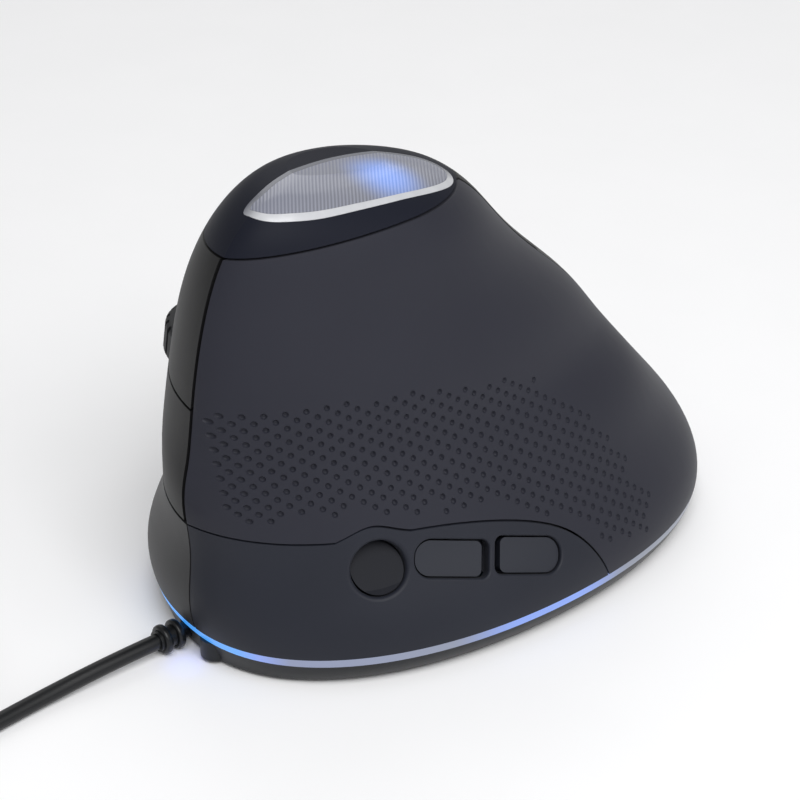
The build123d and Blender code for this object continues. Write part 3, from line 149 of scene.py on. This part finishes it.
bpy.context.scene.camera = camera
print("camera", [round(c, 3) for c in camera.location], "lens", round(camera_data.lens, 1))

# %% [markdown]
# The cord is a 3 mm cable in a PVC sheath. It leaves the nose, lies on the table and runs out
# of the picture, and the rest is put away in a flat coil of two layers: the lower layer winds
# in, the upper one out. One spline carries it all, so it bends like one cable.

# %% Cord route
CORD_THICK = 3.0
CORD_RADIUS = CORD_THICK / 2
# The cord's place follows the body: a share of its half width and of its half length, then
# the boss and the strain relief in front of it
HALF_WIDTH = 41.4
HALF_LENGTH = 59.5
CORD_X = -0.0266 * HALF_WIDTH
GLAND_HEIGHT = 2.95
GLAND_END_Y = 0.961 * HALF_LENGTH + 1.9 + 4.8
GLAND_RUN = 8.5
CORD_BEND = (-0.5, 87.5, 1.55)
ENTRY_RUN = 11.5
COIL_CENTRE = (26.5, 118.5)
COIL_LEAST = 9.0
COIL_PITCH = 3.5
COIL_LAYER = 3.5
COIL_TURNS = 11.25
COIL_TAIL = 20.0
POINTS_PER_TURN = 16


def coil_points(turns):
    """Coil centreline: radius = least + pitch * turns from the middle, angle = pi - 2 pi turns,
    and a climb of one layer in the half turn round the middle."""
    from_middle = np.abs(turns - COIL_TURNS / 2)
    radius = COIL_LEAST + COIL_PITCH * from_middle
    climb = np.clip((turns - COIL_TURNS / 2) * 2 + 0.5, 0, 1)
    angle = np.pi - 2 * np.pi * turns
    return np.stack(
        [
            COIL_CENTRE[0] + radius * np.cos(angle),
            COIL_CENTRE[1] + radius * np.sin(angle),
            CORD_RADIUS + COIL_LAYER * climb,
        ],
        axis=1,
    )


steps = np.linspace(0, COIL_TURNS, int(COIL_TURNS * POINTS_PER_TURN) + 1)
turns_line = coil_points(steps)
# A spline of this order runs through the middles of its control runs, so the points stand
# outside the wound circle by the small share that a chord cuts off.
chord_share = (1 + math.cos(math.pi / POINTS_PER_TURN)) / 2
turns_line[1:-1, :2] = COIL_CENTRE + (turns_line[1:-1, :2] - COIL_CENTRE) / chord_share
start_heading = (turns_line[1] - turns_line[0]) * [0, 1, 0]
start_heading /= np.linalg.norm(start_heading)
end_heading = np.array([1.0, 0.0, 0.0])
coil_entry = turns_line[0] - start_heading * CORD_THICK
entry_lead = coil_entry - start_heading * ENTRY_RUN
route = np.vstack(
    [
        [
            [CORD_X, GLAND_END_Y, GLAND_HEIGHT],
            [CORD_X, GLAND_END_Y + GLAND_RUN, GLAND_HEIGHT],
            CORD_BEND,
        ],
        entry_lead,
        coil_entry,
        turns_line,
        turns_line[-1] + end_heading * COIL_TAIL,
    ]
)
print("cord route points", len(route))


# %% [markdown]
# The sheath is black flexible PVC with a fine moulded skin: dark, half dull, with a soft
# highlight along its length.

# %% Cord sheath material and cord
SHEATH_GRAIN = 0.4
SHEATH_RELIEF = 0.03


def sheath_material():
    """PVC cable sheath: near black, half dull, with a finely grained skin."""
    material, tree = new_material("pvc_sheath")
    place = add_node(tree, "TexCoord").outputs["Object"]
    grain, colour = two_tone(tree, place, 1 / (SHEATH_GRAIN * MM), "#08090b", "#111316", 3.0)
    bump = add_node(
        tree,
        "Bump",
        {"Height": grain, "Distance": SHEATH_RELIEF * MM, "Strength": 0.5},
    )
    shader = add_node(
        tree,
        "BsdfPrincipled",
        {
            "Base Color": colour,
            "Roughness": 0.34,
            "IOR": 1.52,
            "Specular IOR Level": 0.35,
            "Normal": bump.outputs["Normal"],
        },
    )
    close_material(tree, shader.outputs["BSDF"])
    return material


pvc_sheath = sheath_material()
cord_curve = bpy.data.curves.new("cord", "CURVE")
cord_curve.dimensions = "3D"
cord_line = cord_curve.splines.new("NURBS")
cord_line.points.add(len(route) - 1)
cord_line.points.foreach_set("co", np.hstack([route * MM, np.ones((len(route), 1))]).ravel())
cord_line.order_u = 3
cord_line.use_endpoint_u = True
cord_line.resolution_u = 6
cord_curve.bevel_depth = CORD_RADIUS * MM
cord_curve.bevel_resolution = 4
cord_curve.use_fill_caps = True
cord_curve.materials.append(pvc_sheath)
cord = bpy.data.objects.new("cord", cord_curve)
bpy.context.scene.collection.objects.link(cord)
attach(cord, "housing")
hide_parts("cord_tube", "cord_coil")
dress(pvc_sheath, "cord_gland", "plug_grip", "inner_lead")

# %% [markdown]
# The large shells are ABS with a soft-touch paint on the thumb side and a fine spark-eroded
# texture on the finger side. Both scatter light widely. A faint grain breaks the highlight,
# and a slow change of tone keeps large areas from looking flat.


# %% Shell materials
TONE_DRIFT = 25
ROUGHNESS_SPREAD = 0.05


def shell_material(name, dark, pale, roughness, grain_mm, relief_mm, specular=0.3, sheen=0.0):
    """Moulded shell: the tone drifts between two hex colours, with a fine grain as relief."""
    material, tree = new_material(name)
    place = add_node(tree, "TexCoord").outputs["Object"]
    drift, colour = two_tone(tree, place, 1 / (TONE_DRIFT * MM), dark, pale)
    grain = add_node(
        tree,
        "TexNoise",
        {"Vector": place, "Scale": 1 / (grain_mm * MM), "Detail": 2.0, "Roughness": 0.6},
    )
    bump = add_node(
        tree,
        "Bump",
        {"Height": grain.outputs["Fac"], "Distance": relief_mm * MM, "Strength": 0.6},
    )
    spread = add_node(
        tree,
        "MapRange",
        {
            "Value": drift,
            "To Min": roughness - ROUGHNESS_SPREAD,
            "To Max": roughness + ROUGHNESS_SPREAD,
        },
    )
    shader = add_node(
        tree,
        "BsdfPrincipled",
        {
            "Base Color": colour,
            "Roughness": spread.outputs["Result"],
            "IOR": 1.5,
            "Specular IOR Level": specular,
            "Sheen Weight": sheen,
            "Sheen Roughness": 0.5,
            "Normal": bump.outputs["Normal"],
        },
    )
    close_material(tree, shader.outputs["BSDF"])
    return material


# Soft-touch paint on ABS, thumb side and crest
soft_touch = shell_material("soft_touch_paint", "#1f202a", "#252630", 0.55, 0.35, 0.012, 0.25, 0.05)
# The same paint, a harder coat, round the thumb buttons
panel_paint = shell_material("panel_paint", "#1a1c25", "#21242e", 0.5, 0.35, 0.012, 0.25, 0.03)
# Bare ABS with the texture of the spark-eroded mould, finger side. Its tone, lighter than the
# thumb side's, is painted light for the light that falls on the finger side
eroded_abs_painted_lit = shell_material("spark_eroded_abs_painted_lit", "#2a2a2b", "#313133", 0.5, 0.3, 0.02, 0.3)
# The same texture on the two finger keys, moulded in a darker ABS
finger_key_abs = shell_material("finger_key_abs", "#181819", "#1e1e1f", 0.5, 0.3, 0.02, 0.2)
# Dull dark ABS of the crown cap
cap_abs = shell_material("cap_abs", "#171922", "#1d1f29", 0.5, 0.3, 0.012, 0.08)
# Smooth ABS of the rocker pair, and a duller one for the round button
key_abs = shell_material("key_abs", "#21232b", "#282b34", 0.42, 0.3, 0.008, 0.3)
round_key_abs = shell_material("round_key_abs", "#14151b", "#191b22", 0.55, 0.3, 0.008, 0.15)
# Black ABS of the floor tray
base_abs = shell_material("base_abs", "#121417", "#1a1c20", 0.4, 0.4, 0.02, 0.35)
dress(panel_paint, "thumb_panel")
dress(key_abs, "forward_button", "back_button")
dress(round_key_abs, "profile_button")
dress(eroded_abs_painted_lit, "finger_skirt", "finger_panel")
dress(finger_key_abs, "index_button", "middle_button")
dress(cap_abs, "top_cap")
dress(base_abs, "base_shell")
print("shell materials", len(bpy.data.materials))

# %% [markdown]
# The thumb shell carries a field of small moulded dimples. They follow one flat pattern seen
# from the side, as the mould's pins do, so they stretch where the shell turns to the nose.
# The shell's mesh is copied, the faces under the field are cut out, and a new skin is
# stretched over the gap: rings of points for each dimple, joined by triangles, and every
# point is dropped onto the real surface before the dimple's depth is taken off.

# %% Dimple places
FIELD_TOP = [
    (56, 51), (43, 51), (36, 51), (25.5, 50), (12.5, 47), (4, 45.6), (-4, 43), (-10, 38),
    (-16.5, 32), (-21, 24.6), (-26.5, 15),
]
FIELD_BOTTOM = [
    (58.4, 32.0), (47.3, 29.2), (35, 30.2), (29.2, 28.4), (10.5, 26.2), (-4, 18.5),
    (-9.5, 12.5), (-21, 8.8),
]
FIRST_COLUMN = 55.6
LAST_COLUMN = -30
LEVEL = 40.0
LEVEL_STEPS = 400
FIRST_ROW = 1.39
ROWS = 24
COLUMN_PITCH = 1.82
ROW_PITCH = 2.5
DIMPLE_RADIUS = 0.56
DIMPLE_DEPTH = 0.48
RING_SHARES = (1.2, 1.0, 0.75, 0.45)
RING_DIPS = (0.0, 0.0, 0.7, 1.0)
RING_POINTS = 10
ROOM_SHARE = 1.6
MERGE_REACH = 1e-7
RAY_START_X = -0.1


def inside(points, outline):
    """Even-odd rule for whole arrays: a point is inside when a ray to the right crosses the
    outline an odd number of times."""
    near = np.asarray(outline)
    far = np.roll(near, -1, axis=0)
    y, z = points[:, :1], points[:, 1:]
    spans = (near[:, 1] > z) != (far[:, 1] > z)
    rise = np.where(far[:, 1] == near[:, 1], 1e-9, far[:, 1] - near[:, 1])
    crossing = near[:, 0] + (z - near[:, 1]) / rise * (far[:, 0] - near[:, 0])
    return (spans & (y < crossing)).sum(axis=1) % 2 == 1


thumb_side = cad_nodes["thumb_cover"]
shell = bmesh.new()
shell.from_mesh(thumb_side.data)
bmesh.ops.remove_doubles(shell, verts=shell.verts, dist=MERGE_REACH)
surface = BVHTree.FromBMesh(shell)


def drop(places):
    """Points and outward normals where rays along +X meet the shell, for places (y, z) in mm."""
    inward = Vector((1, 0, 0))
    starts = [Vector((RAY_START_X, y * MM, z * MM)) for y, z in places]
    hits = [surface.ray_cast(start, inward)[:2] for start in starts]
    return np.array([h[0] for h in hits]), np.array([h[1] for h in hits])


# The columns stand at equal steps along the shell, measured by the run of its outline at one
# level: each short step of the outline is the square root of dx * dx + dy * dy.
level_y = np.linspace(FIRST_COLUMN, LAST_COLUMN, LEVEL_STEPS)
level_points = drop(np.stack([level_y, np.full_like(level_y, LEVEL)], axis=1))[0] / MM
step_lengths = np.linalg.norm(np.diff(level_points[:, :2], axis=0), axis=1)
run = np.concatenate([[0], np.cumsum(step_lengths)])
column_y = np.interp(np.arange(0, run[-1], COLUMN_PITCH), run, level_y)
field = np.array(FIELD_TOP + FIELD_BOTTOM[::-1], float)
column, row = np.meshgrid(np.arange(len(column_y)), np.arange(ROWS), indexing="ij")
centres = np.stack(
    [column_y[column], FIRST_ROW + ROW_PITCH * (row + 0.5 * (column % 2))],
    axis=-1,
).reshape(-1, 2)
centres = centres[inside(centres, field)]
print("columns", len(column_y), "places in the field", len(centres))


# %% Thumb shell cut open under the field
FIELD_MARGIN = 1.2
SEAM_X = -0.147 * HALF_WIDTH
SEAM_MARGIN = 0.3
OUTWARD_X = -0.05
field_middle = field.mean(axis=0)
reach = np.linalg.norm(field - field_middle, axis=1, keepdims=True)
wide_field = field_middle + (field - field_middle) * (1 + FIELD_MARGIN / reach)
face_places = np.array([f.calc_center_median() for f in shell.faces]) / MM
sideways = np.array([f.normal.x for f in shell.faces]) < OUTWARD_X
thumbward = face_places[:, 0] < SEAM_X - SEAM_MARGIN
under_field = inside(face_places[:, 1:], wide_field) & sideways & thumbward
cut_faces = [f for f, hit in zip(shell.faces, under_field) if hit]
bmesh.ops.delete(shell, geom=cut_faces, context="FACES")
shell.verts.index_update()
open_edges = [[v.index for v in e.verts] for e in shell.edges if len(e.link_faces) == 1]
print("shell faces left", len(shell.faces), "open edges", len(open_edges))


# %% Rim loop, dimple rings and the new skin
def rim_loop(edges):
    """Joins open edges end to end into one loop of vertex numbers."""
    neighbours = {}
    for first, second in edges:
        neighbours.setdefault(first, []).append(second)
        neighbours.setdefault(second, []).append(first)
    loop = [edges[0][0], edges[0][1]]
    while loop[-1] != loop[0]:
        onward = [n for n in neighbours[loop[-1]] if n != loop[-2]]
        loop.append(onward[0])
    return loop[:-1]


rim = rim_loop(open_edges)
shell_mesh = bpy.data.meshes.new("thumb_cover_dimpled")
shell.to_mesh(shell_mesh)
shell.free()
shell_points = np.empty(len(shell_mesh.vertices) * 3)
shell_mesh.vertices.foreach_get("co", shell_points)
shell_points = shell_points.reshape(-1, 3)
shell_faces = [list(p.vertices) for p in shell_mesh.polygons]
rim_places = shell_points[rim, 1:] / MM

# A dimple is kept where its rings and some room round them lie within the rim.
ring_angles = np.arange(RING_POINTS) * 2 * np.pi / RING_POINTS
circle = np.stack([np.cos(ring_angles), np.sin(ring_angles)], axis=1)
room = centres[:, None, :] + ROOM_SHARE * DIMPLE_RADIUS * circle
whole = inside(room.reshape(-1, 2), rim_places).reshape(len(centres), -1).all(axis=1)
centres = centres[whole]
rings = np.array(RING_SHARES)[:, None, None] * DIMPLE_RADIUS * circle
pattern = np.vstack([rings.reshape(-1, 2), [[0, 0]]])
dips = np.append(np.repeat(RING_DIPS, RING_POINTS), 1.0) * DIMPLE_DEPTH
skin_places = (centres[:, None, :] + pattern).reshape(-1, 2)
skin_dips = np.tile(dips, len(centres))

corners = [Vector(p) for p in np.vstack([rim_places, skin_places])]
rim_count = len(rim)
rim_edges = [(i, (i + 1) % rim_count) for i in range(rim_count)]
_, _, triangles, _, _, _ = delaunay_2d_cdt(corners, rim_edges, [], 0, 1e-6)
triangles = np.array(triangles)
flat = np.vstack([rim_places, skin_places])
triangles = triangles[inside(flat[triangles].mean(axis=1), rim_places)]
print("dimples", len(centres), "rim", rim_count, "points", len(skin_places))
print("triangles", len(triangles))

# %% Skin dropped on the shell and joined to it
SHARP_DEGREES = 40
spots, outward = drop(skin_places)
spots -= outward * skin_dips[:, None] * MM
numbers = np.concatenate([rim, len(shell_points) + np.arange(len(spots))])
skin_faces = numbers[triangles][:, ::-1]
dimpled = piece_from(
    "thumb_cover_dimpled",
    np.vstack([shell_points, spots]),
    shell_faces + skin_faces.tolist(),
    soft_touch,
    "housing",
)
dimpled.data.set_sharp_from_angle(angle=math.radians(SHARP_DEGREES))
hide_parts("thumb_cover")
print("thumb shell faces", len(dimpled.data.polygons))

# %% [markdown]
# Small moulded and metal pieces share one recipe: two close tones mixed by a fine noise, one
# roughness and, for metal, full metallic weight. The table names the real material, and each
# row says which nodes are made of it.


# %% Recipe for small pieces
def small_material(name, dark, pale, roughness, grain_mm, metallic=0.0, relief_mm=0.0):
    """Two close tones mixed by noise at the grain's size, with optional metal and relief."""
    material, tree = new_material(name)
    place = add_node(tree, "TexCoord").outputs["Object"]
    grain, colour = two_tone(tree, place, 1 / (grain_mm * MM), dark, pale, 3.0)
    sockets = {"Base Color": colour, "Roughness": roughness, "Metallic": metallic}
    if relief_mm:
        bump = add_node(tree, "Bump", {"Height": grain, "Distance": relief_mm * MM})
        sockets["Normal"] = bump.outputs["Normal"]
    shader = add_node(tree, "BsdfPrincipled", sockets)
    close_material(tree, shader.outputs["BSDF"])
    return material


print("recipe for small pieces ready")

# %% Finishes of the small pieces
small_finishes = [
    # Grey filled PTFE pads that slide on the table
    (("ptfe_pad", "#4b4d50", "#55575a", 0.35, 0.5), ["glide_feet"]),
    # Glass-fibre board with green solder mask
    (
        ("solder_mask_board", "#0f4a33", "#14573c", 0.4, 2.0),
        ["main_board", "button_board", "thumb_board", "lamp_board"],
    ),
    # Yellow phosphor under clear epoxy
    (("lamp_epoxy", "#e8e4c8", "#f4f0d8", 0.25, 0.6), ["top_lamps", "ring_lamps"]),
    # Glossy white moulding that throws the lamps' light up
    (("white_reflector_abs", "#c9cbd6", "#d6d8e2", 0.35, 1.0), ["light_well"]),
    # Black epoxy chip packages
    (("chip_epoxy", "#141416", "#1c1c1f", 0.5, 0.2), ["motion_sensor", "controller_chip"]),
    # Clear polycarbonate optic over the sensor
    (("optic_polycarbonate", "#8d9196", "#a3a7ad", 0.08, 1.0), ["sensor_lens"]),
    # Zinc-plated steel screws and ground pins
    (
        ("zinc_plated_steel", "#9a9da3", "#b4b7bd", 0.3, 0.4, 1.0),
        ["board_screws", "base_screws", "index_hinge_pin", "middle_hinge_pin", "scroll_axle"],
    ),
    # Natural nylon socket for the cord's plug
    (("nylon_header", "#d8d2bf", "#e2dccb", 0.5, 0.8), ["cord_header"]),
    # Drawn steel can of the plug, nickel plated
    (("nickel_plate", "#b9babd", "#c9cacd", 0.22, 0.3, 1.0), ["plug_shell"]),
    # White thermoplastic tongue
    (("tongue_pbt", "#c8c9cb", "#d6d7d9", 0.4, 0.5), ["plug_tongue"]),
    # Gold flashed spring contacts
    (("gold_flash", "#c79a4a", "#d9ae5e", 0.25, 0.2, 1.0), ["plug_contacts"]),
    # Tinned ribbon lead in grey PVC
    (("ribbon_pvc", "#6d6f72", "#7a7c80", 0.5, 0.6), ["ribbon_lead"]),
    # Black thermoplastic switch bodies
    (
        ("switch_pbt", "#17181a", "#202124", 0.45, 0.4),
        ["index_switch", "middle_switch", "click_switch", "thumb_switches", "scroll_encoder"],
    ),
    # Ivory acetal plungers
    (
        ("plunger_acetal", "#cfc6b4", "#ddd5c5", 0.35, 0.4),
        [
            "index_plunger", "middle_plunger", "click_plunger", "forward_plunger",
            "back_plunger", "profile_plunger",
        ],
    ),
    # Black rubber tyre with a dusty bloom
    (("tyre_rubber", "#17181a", "#222326", 0.62, 0.4, 0.0, 0.02), ["scroll_tyre"]),
    # Grey acetal wheel core
    (("wheel_acetal", "#3a3b3e", "#44464a", 0.35, 0.4), ["scroll_hub"]),
    # Black glass-filled frame plastic
    (("frame_glass_nylon", "#1b1c1f", "#232428", 0.6, 0.3), ["inner_frame", "scroll_yoke"]),
]
for recipe, names in small_finishes:
    dress(small_material(*recipe), *names)
print("materials", len(bpy.data.materials))

# %% [markdown]
# The crown is a clear polycarbonate lens, moulded with fine ribs across it, over a white well
# with two lamps. Seen from outside it is milky grey and bluer to the finger side. It has a painted
# highlight along its rib crests, and a painted blue glow on it stands in for the light of one lamp.


# %% Lens material
RIB_PITCH = 0.6
RIB_HEADING = (0.6, 0.8, 0.0)
RIB_HEIGHT = 0.12
# Place, reach and strength of the painted blue glow on the lens, which stands in for one lamp's
# light shining through
PAINTED_GLOW_CENTRE = (-7.0, 15.5, 80.5)
PAINTED_GLOW_REACH = 10
PAINTED_GLOW_STRENGTH = 0.66
GREY_X = -13
BLUE_X = 8
# Blender's wave texture runs this many radians in one unit
WAVE_RADIANS = 20


def lens_material():
    """Ribbed clear lens: the ribs are a sine of the place along one heading, and their period is
    the pitch, so scale = 2 pi / (wave radians * pitch). The rib crests get a painted highlight,
    a lighter grey. A painted glow stands in for the lamp's light shining through: a blue emission
    on the lens that fades smoothly with the distance from the lamp."""
    material, tree = new_material("ribbed_polycarbonate")
    place = add_node(tree, "TexCoord").outputs["Object"]
    across_ribs = add_node(tree, "VectorMath", {0: place, 1: RIB_HEADING}, operation="DOT_PRODUCT")
    rib_place = add_node(tree, "CombineXYZ", {"X": across_ribs.outputs["Value"]})
    wave = add_node(
        tree,
        "TexWave",
        {
            "Vector": rib_place.outputs["Vector"],
            "Scale": 2 * math.pi / (WAVE_RADIANS * RIB_PITCH * MM),
            "Distortion": 0.0,
        },
        bands_direction="X",
    )
    bump = add_node(
        tree,
        "Bump",
        {"Height": wave.outputs["Fac"], "Distance": RIB_HEIGHT * MM, "Strength": 0.5},
    )
    across = add_node(tree, "SeparateXYZ", {"Vector": place})
    tone = add_node(
        tree,
        "MapRange",
        {"Value": across.outputs["X"], "From Min": GREY_X * MM, "From Max": BLUE_X * MM},
    )
    colour = add_node(
        tree,
        "MixRGB",
        {"Fac": tone.outputs["Result"], "Color1": linear("#6f717a"), "Color2": linear("#767c94")},
    )
    tone_with_rib_highlight = add_node(
        # Painted highlight: the rib crests are painted a lighter grey
        tree,
        "MixRGB",
        {
            "Fac": wave.outputs["Fac"],
            "Color1": colour.outputs["Color"],
            "Color2": linear("#8b8d99"),
        },
    )
    # Painted glow: a blue emission on the lens, strongest at the lamp's place, stands in for the
    # lamp's light shining through
    from_lamp = add_node(
        tree,
        "VectorMath",
        {0: place, 1: tuple(c * MM for c in PAINTED_GLOW_CENTRE)},
        operation="DISTANCE",
    )
    painted_lamp_glow = add_node(
        tree,
        "MapRange",
        {
            "Value": from_lamp.outputs["Value"],
            "From Min": 0.0,
            "From Max": PAINTED_GLOW_REACH * MM,
            "To Min": PAINTED_GLOW_STRENGTH,
            "To Max": 0.0,
        },
        interpolation_type="SMOOTHERSTEP",
    )
    shader = add_node(
        tree,
        "BsdfPrincipled",
        {
            "Base Color": tone_with_rib_highlight.outputs["Color"],
            "Roughness": 0.22,
            "IOR": 1.58,
            "Normal": bump.outputs["Normal"],
            "Emission Color": linear("#3f8dff"),
            "Emission Strength": painted_lamp_glow.outputs["Result"],
            "Coat Weight": 0.3,
            "Coat Roughness": 0.06,
        },
    )
    close_material(tree, shader.outputs["BSDF"])
    return material


dress(lens_material(), "top_lens")
print("lens ribs every", RIB_PITCH, "mm")

# %% [markdown]
# A pale rim holds the lens, and an opal band runs round the foot of the body. Lamps stand
# behind the band at the nose and at the sides, so its light changes along its length.

# %% Rim of the lens and the light band
RIM_PALE_X = -7.5
RIM_GREY_X = -3.5
RIM_MOTTLE = 3


def rim_material():
    """Pale glossy styrene rim: nearly white along the thumb side, greyer at the finger side,
    where the lens's edge shades it."""
    material, tree = new_material("pale_styrene_rim")
    place = add_node(tree, "TexCoord").outputs["Object"]
    across = add_node(tree, "SeparateXYZ", {"Vector": place})
    shade = add_node(
        tree,
        "MapRange",
        {"Value": across.outputs["X"], "From Min": RIM_PALE_X * MM, "From Max": RIM_GREY_X * MM},
    )
    colour = two_tone(tree, place, 1 / (RIM_MOTTLE * MM), "#b2b4b9", "#cacbce")[1]
    shaded = add_node(
        tree,
        "MixRGB",
        {
            "Fac": shade.outputs["Result"],
            "Color1": colour,
            "Color2": linear("#62646d"),
        },
    )
    shader = add_node(
        tree,
        "BsdfPrincipled",
        {"Base Color": shaded.outputs["Color"], "Roughness": 0.25, "IOR": 1.59},
    )
    close_material(tree, shader.outputs["BSDF"])
    return material


NOSE_LAMP = (1.0, 59.0, 5.4)
NOSE_REACH = 120
SIDE_LAMP_Y = 5.0
SIDE_FULL = 6
SIDE_REACH = 22
BAND_STRENGTH = 0.85
# Share of the nose lamp's reach, and the band's light there
BAND_STOPS = [
    (0.0, "#2f9fff"), (0.14, "#4fa6ff"), (0.175, "#7f9cf0"), (0.22, "#7d86a6"),
    (0.45, "#7a8092"), (1.0, "#676a70"),
]


def band_material():
    """Opal light band: milky acrylic that glows. The glow's colour follows the distance from
    the nose lamp, from sky blue to a pale grey at the tail, and turns lavender by a side lamp."""
    material, tree = new_material("opal_acrylic_band")
    place = add_node(tree, "TexCoord").outputs["Object"]
    from_nose = add_node(
        tree,
        "VectorMath",
        {0: place, 1: tuple(c * MM for c in NOSE_LAMP)},
        operation="DISTANCE",
    )
    share = add_node(
        tree,
        "MapRange",
        {"Value": from_nose.outputs["Value"], "From Min": 0.0, "From Max": NOSE_REACH * MM},
    )
    ramp = add_node(tree, "ValToRGB", {"Fac": share.outputs["Result"]})
    elements = ramp.color_ramp.elements
    while len(elements) < len(BAND_STOPS):
        elements.new(0.5)
    for element, (position, hex_colour) in zip(elements, BAND_STOPS):
        element.position = position
        element.color = linear(hex_colour)
    along = add_node(tree, "SeparateXYZ", {"Vector": place})
    from_side = add_node(
        tree,
        "Math",
        {0: along.outputs["Y"], 1: SIDE_LAMP_Y * MM},
        operation="SUBTRACT",
    )
    side_run = add_node(tree, "Math", {0: from_side.outputs["Value"]}, operation="ABSOLUTE")
    side_share = add_node(
        tree,
        "MapRange",
        {
            "Value": side_run.outputs["Value"],
            "From Min": SIDE_FULL * MM,
            "From Max": SIDE_REACH * MM,
            "To Min": 1.0,
            "To Max": 0.0,
        },
        interpolation_type="SMOOTHSTEP",
    )
    glow = add_node(
        tree,
        "MixRGB",
        {
            "Fac": side_share.outputs["Result"],
            "Color1": ramp.outputs["Color"],
            "Color2": linear("#7397ef"),
        },
    )
    shader = add_node(
        tree,
        "BsdfPrincipled",
        {
            "Base Color": linear("#5b5f6a"),
            "Roughness": 0.35,
            "Emission Color": glow.outputs["Color"],
            "Emission Strength": BAND_STRENGTH,
        },
    )
    close_material(tree, shader.outputs["BSDF"])
    return material


dress(rim_material(), "lens_bezel")
dress(band_material(), "light_ring")
print("band light stops", len(BAND_STOPS))

# %% [markdown]
# The mouse stands on a plain pale table under soft studio light: a large panel above the
# thumb side, a weaker one low beside it, a third behind, and a pale surround. The nose lamp
# spills a little blue on the table. The table is only a backdrop.


# %% Table, surround and lights
HALF_TABLE = 3.0
TABLE_GRAIN = 25
SURROUND_LIGHT = 0.4
PANEL_AIM = (0, 0.01, 0.04)
# Name, place and size in metres, power in watts
PANELS = [
    ("key_panel", (-0.6, 0.3, 1.0), 0.8, 9.9),
    ("side_panel", (-0.9, -0.2, 0.6), 0.8, 2.5),
    ("back_panel", (0.7, -0.5, 0.7), 0.7, 1.4),
]
SPILL_PLACE = (-0.0065, 0.0615, 0.0045)
SPILL_COLOUR = (0.06, 0.16, 1.0)
SPILL_POWER = 0.00035
SPILL_DEGREES = 130
SPILL_SOFTNESS = 0.002


def table_material():
    """Plain pale table that keeps its shadows."""
    material, tree = new_material("pale_table")
    place = add_node(tree, "TexCoord").outputs["Object"]
    colour = two_tone(tree, place, 1 / (TABLE_GRAIN * MM), "#f9f9fa", "#fcfcfd")[1]
    shader = add_node(
        tree,
        "BsdfPrincipled",
        {"Base Color": colour, "Roughness": 0.6, "Specular IOR Level": 0.2},
    )
    close_material(tree, shader.outputs["BSDF"])
    return material


table_mesh = bpy.data.meshes.new("table")
table_signs = [(-1, -1), (1, -1), (1, 1), (-1, 1)]
table_corners = [(x * HALF_TABLE, y * HALF_TABLE, 0) for x, y in table_signs]
table_mesh.from_pydata(table_corners, [], [(0, 1, 2, 3)])
table_mesh.materials.append(table_material())
table = bpy.data.objects.new("table", table_mesh)
bpy.context.scene.collection.objects.link(table)

surround = bpy.data.worlds.new("surround")
surround.use_nodes = True
surround.node_tree.nodes.clear()
ray = add_node(surround.node_tree, "LightPath")
level = add_node(
    surround.node_tree,
    "MapRange",
    {"Value": ray.outputs["Is Camera Ray"], "To Min": SURROUND_LIGHT, "To Max": 1.0},
)
sky = add_node(
    surround.node_tree,
    "Background",
    {"Color": linear("#fdfdfd"), "Strength": level.outputs["Result"]},
)
add_node(surround.node_tree, "OutputWorld", {"Surface": sky.outputs["Background"]})
bpy.context.scene.world = surround


def soft_panel(name, place, size, power):
    """A square light panel at a place in metres, turned to the mouse's middle."""
    light = bpy.data.lights.new(name, "AREA")
    light.size = size
    light.energy = power
    made = bpy.data.objects.new(name, light)
    made.location = place
    away = Vector(place) - Vector(PANEL_AIM)
    made.rotation_euler = away.to_track_quat("Z", "Y").to_euler()
    bpy.context.scene.collection.objects.link(made)


for panel in PANELS:
    soft_panel(*panel)
spill = bpy.data.lights.new("front_lamp_spill", "SPOT")
spill.spot_size = math.radians(SPILL_DEGREES)
spill.spot_blend = 1.0
spill.color = SPILL_COLOUR
spill.energy = SPILL_POWER
spill.shadow_soft_size = SPILL_SOFTNESS
spill_lamp = bpy.data.objects.new("front_lamp_spill", spill)
spill_lamp.location = SPILL_PLACE
bpy.context.scene.collection.objects.link(spill_lamp)
bpy.context.scene.view_settings.view_transform = "Standard"
print("lights", len(bpy.data.lights))
